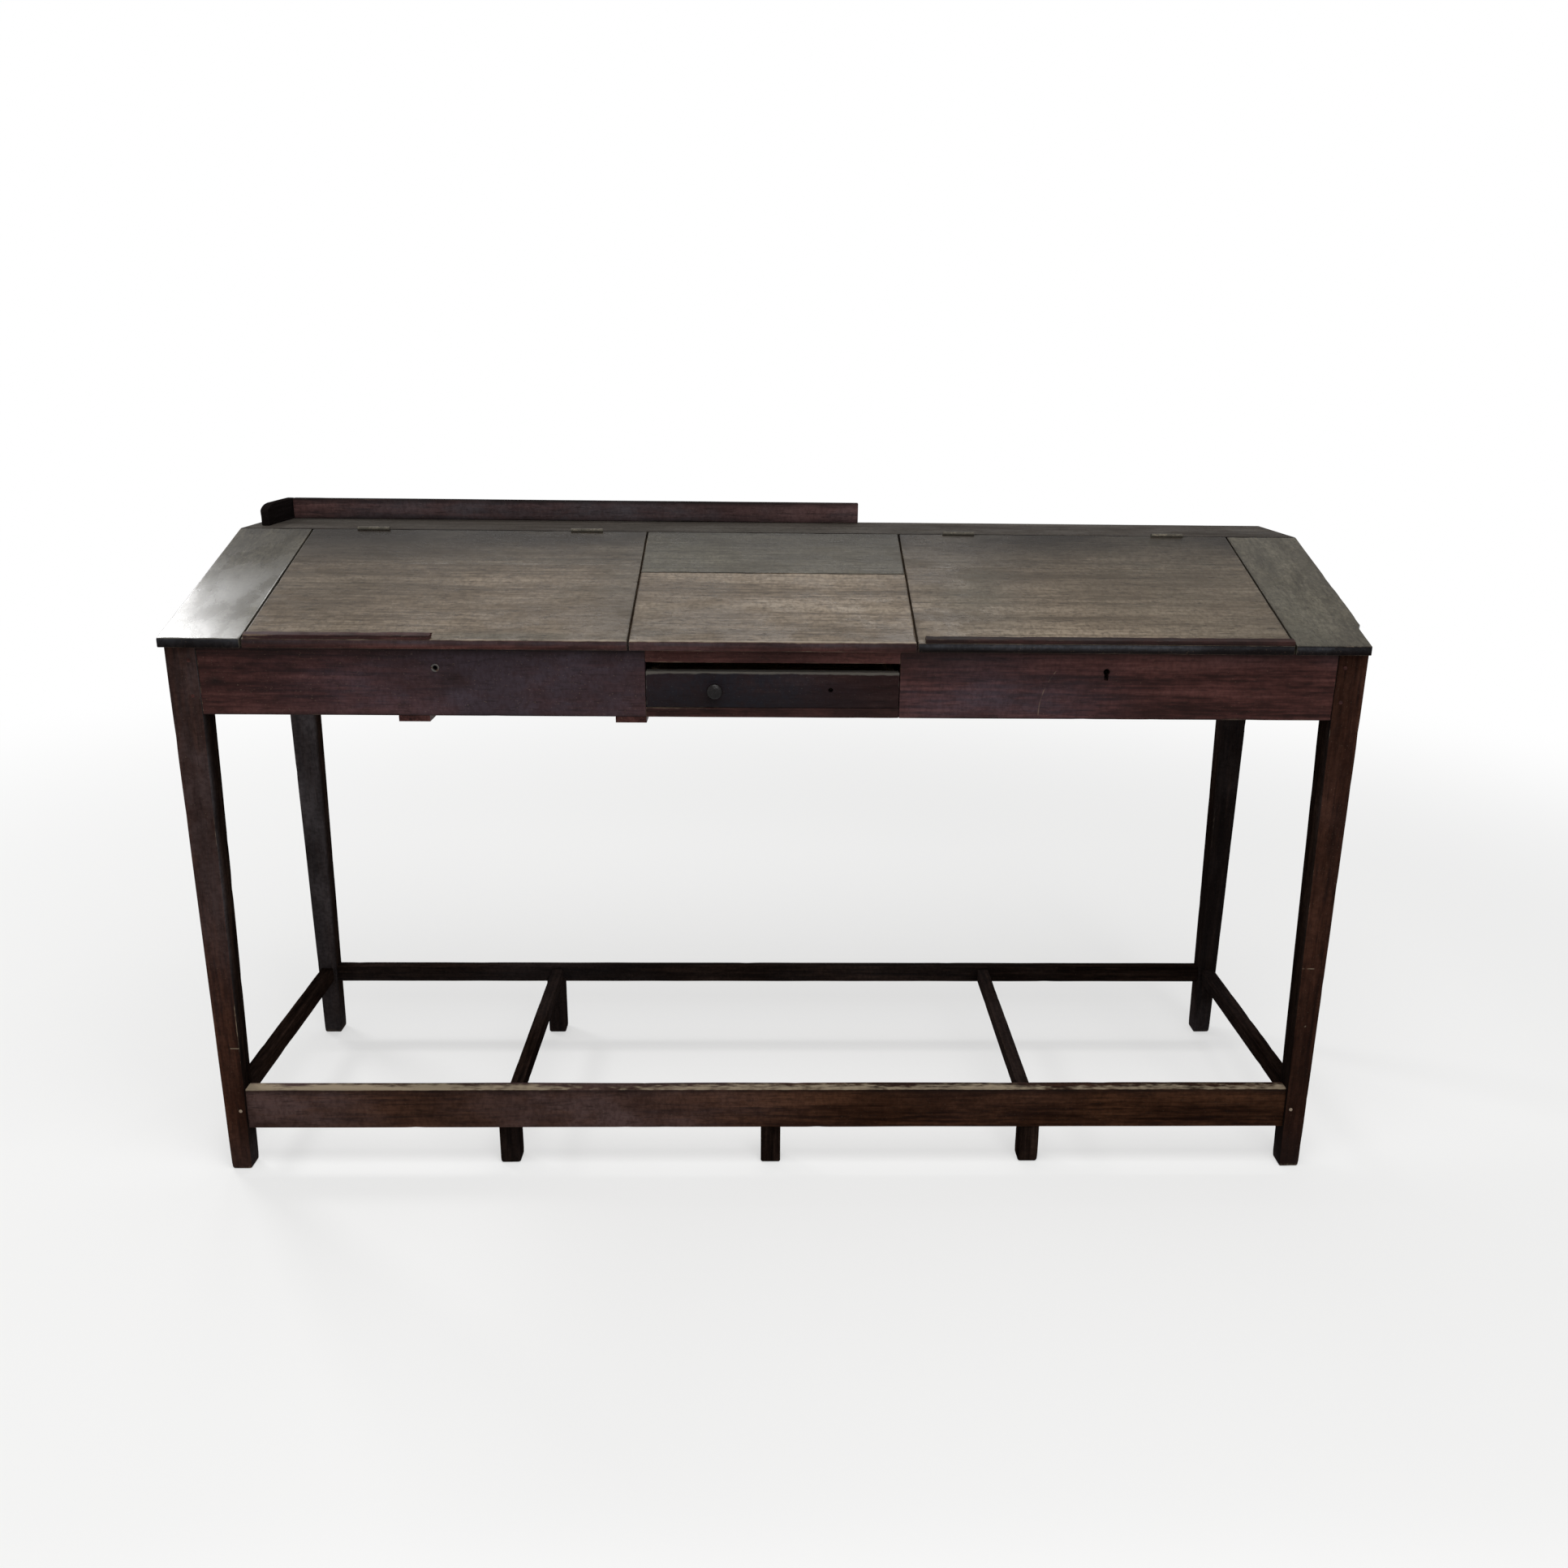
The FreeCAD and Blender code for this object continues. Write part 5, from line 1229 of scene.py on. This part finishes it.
@dataclass
class Box:
    """The shallow box under the top: aprons, drawer rails, panels and what stiffens it."""

    slot: str = "stained_frame"
    round_key: float = 0.004
    key_eye: float = 0.0056
    key_slot: Pair = (0.0072, 0.0145)
    key_bush: Pair = (0.0038, 0.0072)
    bush_depth: float = 0.004
    bush_round: float = 0.0008
    key_place: Pair = (0.56, 0.953236)
    key_level: float = 0.086
    key_halo: Pair = (0.0075, 0.0085)
    inside_across: tuple[str, ...] = ("left_partition", "right_partition", "drawer_runners", "lid_rafters")
    inside_along: tuple[str, ...] = ("floor_boards", "shelf_rails")

    def build(self) -> None:
        """Make the boards of the box and dress what is inside it."""
        for hand in Hand:
            self._apron(hand)
        self._rail("drawer_top_rail", sloped=True)
        self._rail("drawer_bottom_rail", sloped=False)
        for hand in Hand:
            self._side_panel(hand)
        plain_board("back_panel", spacing=0.016).lay(self.slot, FRAME_WOOD, faces={Side.FRONT: INNER_WOOD})
        dress_nodes(INNER_WOOD.material(Run.ALONG_Y), *self.inside_across)
        dress_nodes(INNER_WOOD.material(Run.ALONG_X), *self.inside_along)
        dress_nodes(FRAME_WOOD.material(Run.ALONG_Y), "floor_bearers")

    def _apron(self, hand: Hand) -> None:
        """Make one apron board with its keyhole.

        Args:
            hand: Left or right.
        """
        node = f"{hand.value}_front_apron"
        low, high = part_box(node)
        leg_low, leg_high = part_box(f"front_{hand.value}_leg")
        reach, height = self.key_place
        middle = (low.y + high.y) / 2
        if hand is Hand.LEFT:
            low.x = leg_high.x
            filmed = Spot(1.1, (0.54, 0.28))
            grimed = [Spot(0.9, (0.026, 0.011), z=(0.062, 0.006)), Spot(0.6, (0.135, 0.08), z=(0.122, 0.016)),
                      Spot(0.5, (0.415, 0.030), z=(0.066, 0.017))]
            cutters = [round_cutter("round_keyhole", (-reach, middle, height), self.round_key)]
        else:
            high.x = leg_low.x
            filmed = Spot(0.5, (0.16, 0.17), z=(0.03, 0.06))
            grimed = [Spot(0.85, (0.06, 0.15), z=(0.12, 0.035))]
            half = self.key_slot[0] / 2
            cutters = [round_cutter("key_eye", (reach, middle, height), self.key_eye),
                       square_cutter("key_slot", (reach - half, low.y - OVERCUT, height - self.key_slot[1]),
                                     (reach + half, high.y + OVERCUT, height))]
        key = math.copysign(reach, low.x) - low.x
        # Painted shadow: a dark line along the apron's top, under the overhang of the top boards.
        painted_overhang_shadow = Spot(0.95, z=(high.z - low.z - 0.009, 0.007))
        lower_arris = Spot(0.7, z=(0.0, 0.0035))
        halo = Spot(0.75, (key, self.key_halo[0]), z=(self.key_level, self.key_halo[1]))
        grimed += [painted_overhang_shadow, lower_arris, halo]
        apron = board(node, low, high, Incline(high.y, high.z).at, arris=0.0011, nicks=16, filmed=(filmed,),
                      grimed=tuple(grimed))
        apron.lay(self.slot, FRAME_WOOD, cutters=cutters, faces={Side.BACK: INNER_WOOD})
        if hand is Hand.LEFT:
            self._key_bush((-reach, low.y, height))

    def _key_bush(self, place: Triple) -> None:
        """Make the thin ring of iron round the round keyhole.

        Args:
            place: The keyhole's middle on the apron's face.
        """
        inner, outer = self.key_bush
        start = (inner, -self.bush_depth)
        ring = turned("iron_key_bush", (
            start, (outer, -self.bush_depth), (outer, 0.0), (outer - self.bush_round, 0.0006),
            (inner + self.bush_round, 0.0004), (inner, -0.0002), start))
        ring.data.transform(Matrix.Translation(place) @ TO_FRONT)
        settle(ring, Body.DESK, "lock_iron", IRON.material())

    def _rail(self, node: str, sloped: bool) -> None:
        """Make a rail of the drawer's opening.

        Args:
            node: The rail's node.
            sloped: Whether its top follows the slope; if not, it is darker all over, below the drawer.
        """
        low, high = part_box(node)
        low.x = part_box("left_front_apron")[1].x
        high.x = -low.x
        rail = board(node, low, high, Incline(high.y, high.z).at if sloped else None, arris=0.001,
                     grimed=() if sloped else (Spot(0.7),))
        rail.lay(self.slot, FRAME_WOOD)

    def _side_panel(self, hand: Hand) -> None:
        """Make a side panel, whose top follows the slope and then the shelf.

        Args:
            hand: Left or right.
        """
        node = f"{hand.value}_side_panel"
        leg_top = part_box(f"front_{hand.value}_leg")[1]
        over = Incline(leg_top.y, leg_top.z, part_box("back_shelf")[0].z)
        panel = plain_board(node, over=over.at, run=Run.ALONG_Y)
        panel.lay(self.slot, FRAME_WOOD, faces={hand.inner: INNER_WOOD})


@dataclass
class SlopingTop:
    """The writing slope with its lids, the flat shelf and the gallery."""

    slot: str = "polished_top"
    knuckle: float = 0.0045
    hinge_length: float = 0.061
    hinge_half: float = 0.03
    lid_joint: float = 0.262
    broken_reach: float = 0.006
    broken_from: float = 0.97
    broken_grain: float = 0.006
    broken_seed: int = 5
    wing_corner: Pair = (0.042, 0.015)
    split: Pair = (0.073, 0.007)
    split_step: float = 0.004
    edge_dirt: float = 0.0045
    end_dirt: float = 0.003
    board: float = 0.0158
    skin: float = 0.008

    def build(self) -> None:
        """Make the boards of the top and dress the lids' furniture."""
        self._slope()
        for hand in Hand:
            self._ledge(hand)
            dress_nodes(INNER_WOOD.material(Run.ALONG_Y), f"{hand.value}_lid_cleats")
        shelf = plain_board("back_shelf", nicks=24, grimed=self._edges("back_shelf", 1.0))
        shelf.lay(self.slot, DULL_SHADED_SHELF, cutters=self._notches(Hand.LEFT) + self._notches(Hand.RIGHT),
                  faces={Side.UNDER: INNER_WOOD})
        # The gallery's bottom edge is darkened as painted shadow where it meets the shelf; its top edge is
        # darker too.
        gallery = plain_board("gallery_back", arris=0.0016, nicks=16, filmed=(Spot(0.85, (0.6, 0.6)),),
                              grimed=(Spot(0.95, z=(0.04, 0.006)), Spot(0.7, z=(0.0, 0.007))))
        gallery.lay(self.slot, GALLERY_WOOD, faces={Side.OVER: EDGE_WOOD})
        self._wing()

    def _slope(self) -> None:
        """Make the end boards, the centre panel and the lids."""
        upper = self._upper
        # Painted highlight: a lighter band along the upper part of the front edges, laid on the film mark.
        painted_edge_highlight = Spot(1.0, y=(0.0, 0.0035), z=(0.0115, 0.0038))
        # A pale line along the front top arris: wear, and a painted highlight.
        front_wear_and_highlight = Spot(1.25, y=(0.003, 0.006), z=(self.board, 0.004))
        back_film = upper(0.9, y=(0.42, 0.12))
        # Painted dark reflection: the lids' top faces darken towards the back.
        back_dark_reflection = upper(0.88, y=(0.41, 0.14))
        # The left end board's top face darkens towards the back as painted dark reflection.
        self._sloped("left_end_board", GLOSSY_TOP, run=Run.ALONG_Y, shaded=(upper(0.5, y=(0.42, 0.12)),),
                     filmed=(upper(1.0, y=(0.0, 0.14)), upper(1.0, y=(0.15, 0.10))))
        self._sloped("right_end_board", GREYED_TOP, run=Run.ALONG_Y, split=True, filmed=(painted_edge_highlight,),
                     rubbed=(upper(0.95, (0.03, 0.03), (0.045, 0.05)),))
        self._sloped("centre_panel_lower", TOP_WOOD, edge=STAINED_EDGE, filmed=(painted_edge_highlight,),
                     rubbed=(front_wear_and_highlight,))
        self._sloped("centre_panel_upper", GREYED_TOP, shaded=(upper(0.55, y=(0.17, 0.08)),))
        self._sloped("left_lid", TOP_WOOD, Hand.LEFT, shaded=(back_dark_reflection,), edge=STAINED_EDGE,
                     rubbed=(front_wear_and_highlight,),
                     filmed=(painted_edge_highlight, back_film, upper(0.7, (0.63, 0.07)),
                             upper(0.9, (0.45, 0.16), (0.014, 0.012))))
        self._sloped("right_lid", TOP_WOOD, Hand.RIGHT, shaded=(back_dark_reflection,),
                     filmed=(painted_edge_highlight, back_film, upper(0.7, (0.12, 0.10), (0.2, 0.16)),
                             upper(0.6, (0.50, 0.22), (0.25, 0.2))))

    def _upper(self, strength: float, x: Pair = EVERYWHERE, y: Pair = EVERYWHERE) -> Spot:
        """A spot that lies only on the upper face of a board of the slope."""
        return Spot(strength, x, y, (self.board, self.skin))

    def _edges(self, node: str, front: float = 0.3) -> tuple[Spot, ...]:
        """Dirt along the front edge and the ends of a board.

        Args:
            node: The board's node.
            front: How dirty the front edge is.

        Returns:
            A spot for each edge.
        """
        low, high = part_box(node)
        ends = tuple(Spot(0.4, (place, self.end_dirt)) for place in (0.0, high.x - low.x))
        return (Spot(front, y=(0.0, self.edge_dirt)), *ends)

    def _split(self, node: str, whole: Field) -> Field:
        """Set the front of a board's right edge back, where a strip has split off.

        Args:
            node: The board's node.
            whole: The board's shape before it split.

        Returns:
            The shape as it is left.
        """
        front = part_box(node)[0].y
        length, depth = self.split

        def left(unit: Points) -> Points:
            """Place unit coordinates, with less of the edge at the front.

            Args:
                unit: The coordinates, from 0 to 1 along each side.

            Returns:
                The points.
            """
            made = whole(unit)
            gone = np.clip((length - (made[:, 1] - front)) / self.split_step, 0.0, 1.0)
            made[:, 0] -= unit[:, 0] ** 6 * gone * depth
            return made

        return left

    def _notches(self, hand: Hand) -> list[Object]:
        """The cutters that make room for the hinges' knuckles.

        Args:
            hand: The lid's side.

        Returns:
            One cutter for each hinge of that lid.
        """
        low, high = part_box(f"{hand.value}_lid_hinge_leaves")
        middle = sum(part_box("hinge_pins"), Vector()) / 2
        return [round_cutter(f"{hand.value}_knuckle_{number}", (place, middle.y, middle.z), self.knuckle,
                             self.hinge_length, TO_SIDE)
                for number, place in enumerate((low.x + self.hinge_half, high.x - self.hinge_half))]

    def _sloped(self, node: str, finish: WoodFinish, hinges: Hand | None = None,
                shaded: tuple[Spot, ...] = (), edge: WoodFinish = EDGE_WOOD, split: bool = False,
                **facts: Value) -> None:
        """Make one board of the slope.

        Args:
            node: The board's node.
            finish: Its finish.
            hinges: The side whose hinges are let into it, if it is a lid of two boards.
            shaded: Where it is darker than the rest.
            edge: The finish of its front edge.
            split: Whether a strip has split off the front of its right edge.
            **facts: More of the board's fields.
        """
        size, shape = sloping(node)
        body, grooves, cutters = Body.DESK, (), []
        if hinges:
            body, grooves, cutters = hinges.lid, (self.lid_joint,), self._notches(hinges)
        if split:
            shape = self._split(node, shape)
        block = WornBlock(node, size, shape, arris=0.0016, nicks=14, grimed=self._edges(node) + shaded,
                          grooves=grooves, **facts)
        block.lay(self.slot, finish, body, cutters, {Side.UNDER: INNER_WOOD, Side.FRONT: edge})

    def _ledge(self, hand: Hand) -> None:
        """Make a book ledge: the left one ends where it broke off.

        Args:
            hand: Left or right.
        """
        node = f"{hand.value}_book_ledge"
        size, whole = sloping(node)

        def broken(unit: Points) -> Points:
            """Pull the right end back unevenly, as a break leaves it.

            Args:
                unit: The coordinates, from 0 to 1 along each side.

            Returns:
                The points.
            """
            made = whole(unit)
            torn = 0.5 + 0.5 * ripple(made * np.array([0.0, 1.0, 1.0]), self.broken_seed, self.broken_grain)
            near = np.clip((unit[:, 0] - self.broken_from) / (1.0 - self.broken_from), 0.0, 1.0)
            made[:, 0] -= near * torn * self.broken_reach
            return made

        # The right ledge is darker all over than the left.
        shape, ledge_darkness = (broken, 0.2) if hand is Hand.LEFT else (whole, 0.75)
        ledge = WornBlock(node, size, shape, nicks=18, spacing=0.004, grimed=(Spot(ledge_darkness),))
        ledge.lay(self.slot, FRAME_WOOD, hand.lid)

    def _wing(self) -> None:
        """Make the short end of the gallery, with its rounded front corner."""
        low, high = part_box("gallery_wing")
        length, drop = self.wing_corner

        def over(place: Points) -> Points:
            """The upper edge along y: a long round at the front, then level."""
            inside = np.clip(1.0 - (place - low.y) / length, 0.0, 1.0)
            return high.z - drop * (1.0 - np.sqrt(1.0 - inside * inside))

        wing = board("gallery_wing", low, high, over, run=Run.ALONG_Y, arris=0.0014, spacing=0.003,
                     grimed=(Spot(0.85),))
        wing.lay(self.slot, EDGE_WOOD)


@dataclass
class Drawer:
    """The shallow drawer with its one knob and the hole of the other."""

    slot: str = "stained_frame"
    hole: float = 0.0042
    hole_place: Pair = (0.097, 0.91925)
    knob_outline: tuple[Pair, ...] = (
        (0.0, 0.0), (0.0092, 0.0), (0.0094, 0.0012), (0.0082, 0.0022), (0.0066, 0.0046), (0.0062, 0.0068),
        (0.0078, 0.0086), (0.0112, 0.0100), (0.0131, 0.0120), (0.0135, 0.0138), (0.0129, 0.0160),
        (0.0108, 0.0180), (0.0076, 0.0192), (0.0040, 0.0198), (0.0, 0.0200))

    def build(self) -> None:
        """Make the front and the knob, and dress the drawer's box."""
        low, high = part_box("drawer_front")
        top = high.z - low.z
        reach, height = self.hole_place
        front = plain_board("drawer_front", arris=0.0014, nicks=14, rubbed=(Spot(1.7, z=(top, 0.006)),),
                            filmed=(Spot(1.5, (0.05, 0.24)),), grimed=(Spot(0.45, z=(0.0, 0.4 * top)),))
        lost = round_cutter("lost_knob", (reach, (low.y + high.y) / 2, height), self.hole)
        front.lay(self.slot, DRAWER_WOOD, Body.DRAWER, [lost])
        knob = turned("turned_drawer_knob", self.knob_outline)
        knob.data.transform(Matrix.Translation((-reach, low.y, height)) @ TO_FRONT)
        set_attribute(knob.data, "grain", vertex_points(knob.data)[:, [1, 0, 2]])
        set_attribute(knob.data, "arris", np.zeros(len(knob.data.vertices)))
        knob.modifiers.new("round", "SUBSURF").render_levels = 2
        settle(knob, Body.DRAWER, "knob_wood", KNOB_WOOD.material(), "drawer_knob")
        dress_nodes(INNER_WOOD.material(Run.ALONG_Y), "drawer_left_side", "drawer_right_side")
        dress_nodes(INNER_WOOD.material(Run.ALONG_X), "drawer_back", "drawer_bottom")


@dataclass
class Fittings:
    """The brass hinges and the iron locks."""

    brass: tuple[str, ...] = (
        "shelf_hinge_leaves", "shelf_hinge_screws", "hinge_pins", "left_lid_hinge_leaves",
        "left_lid_hinge_screws", "right_lid_hinge_leaves", "right_lid_hinge_screws")
    iron: tuple[str, ...] = (
        "lock_cases", "left_lock_bolt", "right_lock_bolt", "left_lock_staple", "right_lock_staple")

    def build(self) -> None:
        """Dress the metal."""
        dress_nodes(BRASS.material(), *self.brass)
        dress_nodes(IRON.material(), *self.iron)


# Studio


@dataclass(frozen=True)
class Softbox:
    """One soft studio light."""

    name: str
    place: Triple
    aim: Triple
    size: Pair
    power: float

    def build(self) -> None:
        """Hang the light and turn it to its aim."""
        light = bpy.data.lights.new(self.name, "AREA")
        light.shape = "RECTANGLE"
        light.size, light.size_y = self.size
        light.energy = self.power
        lamp = bpy.data.objects.new(self.name, light)
        lamp.location = self.place
        lamp.rotation_euler = (Vector(self.aim) - Vector(self.place)).to_track_quat("-Z", "Y").to_euler()
        lamp.visible_camera = False
        bpy.context.scene.collection.objects.link(lamp)


@dataclass
class Studio:
    """The pale floor, the soft light and the camera."""

    floor_colour: Triple = (0.80, 0.80, 0.79)
    floor_roughness: float = 0.9
    floor_half: float = 40.0
    floor_glow_share: float = 0.5
    ambient: float = 0.36
    fade: Pair = (1.6, 4.5)
    camera_place: Triple = (-0.0037, -2.4334, 1.4245)
    pitch: float = 17.05
    yaw: float = 1.44
    roll: float = 0.68
    focal_pixels: float = 1624.0
    image_middle: Pair = (988.0, 960.0)
    clip: Pair = (0.05, 200.0)
    lights: tuple[Softbox, ...] = (
        Softbox("back_softbox", (-2.9, 2.0, 3.6), (-0.9, 0.0, 1.0), (0.9, 0.9), 44.0),
        Softbox("back_strip", (-0.4, 3.0, 4.95), (0.0, 0.0, 1.0), (3.2, 0.4), 46.0),
        Softbox("overhead_softbox", (0.3, -1.6, 4.2), (0.0, 0.0, 0.8), (2.6, 2.0), 85.0),
        Softbox("front_softbox", (0.8, -3.2, 2.6), (0.0, 0.0, 0.7), (2.4, 1.6), 40.0))

    def build(self) -> None:
        """Lay the floor, light it and set the camera."""
        self._floor()
        self._world()
        for light in self.lights:
            light.build()
        self._camera()
        bpy.context.scene.view_settings.view_transform = "Standard"

    def _floor(self) -> None:
        """A wide pale floor that turns white far away."""
        shape = bmesh.new()
        bmesh.ops.create_grid(shape, x_segments=1, y_segments=1, size=self.floor_half)
        floor = from_bmesh("studio_floor", shape)
        made, wiring, shader = new_material("pale_floor")
        shader.inputs["Base Color"].default_value = (*self.floor_colour, 1.0)
        shader.inputs["Roughness"].default_value = self.floor_roughness
        shader.inputs["Specular IOR Level"].default_value = 0.0
        white = wiring.add("ShaderNodeEmission", {"Color": WHITE, "Strength": 1.0})
        far = wiring.step(wiring.vector("LENGTH", wiring.surface())["Value"], *self.fade,
                          self.floor_glow_share, 1.0)
        mixed = wiring.add("ShaderNodeMixShader", {0: wiring.times(far, self._seen(wiring)),
                                                   1: shader.outputs[0], 2: white.outputs[0]})
        wiring.feed(made.node_tree.nodes["Material Output"].inputs["Surface"], mixed.outputs[0])
        floor.data.materials.append(made)

    def _seen(self, wiring: Wiring) -> NodeSocket:
        """The rays that see the backdrop itself, and not its light.

        Args:
            wiring: The wiring of the floor's material or of the world.

        Returns:
            A socket that is 1 for those rays.
        """
        rays = wiring.add("ShaderNodeLightPath").outputs
        through = wiring.math("MAXIMUM", rays["Is Glossy Ray"], rays["Is Transmission Ray"])
        return wiring.math("MAXIMUM", rays["Is Camera Ray"], through)

    def _world(self) -> None:
        """Even light all round, which the camera and the gloss see as white."""
        world = bpy.data.worlds.new("studio")
        world.use_nodes = True
        world.node_tree.nodes.clear()
        wiring = Wiring(world.node_tree)
        even, white = (wiring.add("ShaderNodeBackground", {"Color": WHITE, "Strength": strength})
                       for strength in (self.ambient, 1.0))
        mixed = wiring.add("ShaderNodeMixShader", {0: self._seen(wiring), 1: even.outputs[0],
                                                   2: white.outputs[0]})
        wiring.add("ShaderNodeOutputWorld", {"Surface": mixed.outputs[0]})
        bpy.context.scene.world = world

    def _camera(self) -> None:
        """Set the camera where the photograph was taken from."""
        lens = bpy.data.cameras.new("photo_camera")
        lens.sensor_width = SENSOR
        lens.lens = self.focal_pixels / IMAGE_SIDE * SENSOR
        lens.shift_x = (IMAGE_SIDE / 2 - self.image_middle[0]) / IMAGE_SIDE
        lens.shift_y = (self.image_middle[1] - IMAGE_SIDE / 2) / IMAGE_SIDE
        lens.clip_start, lens.clip_end = self.clip
        camera = bpy.data.objects.new("photo_camera", lens)
        camera.matrix_world = Matrix.Translation(self.camera_place)
        for angle, axis in ((-self.yaw, "Z"), (90.0 - self.pitch, "X"), (self.roll, "Z")):
            camera.matrix_world = camera.matrix_world @ Matrix.Rotation(math.radians(angle), 4, axis)
        bpy.context.scene.collection.objects.link(camera)
        bpy.context.scene.camera = camera


def main() -> None:
    """Build the desk's sub-assemblies in order, then the studio."""
    logging.basicConfig(level=logging.INFO, format="%(message)s")
    for part in (Legs(), FootFrame(), Box(), SlopingTop(), Drawer(), Fittings(), Studio()):
        part.build()
        LOG.info("built %s", type(part).__name__)


if __name__ == "__main__":
    main()
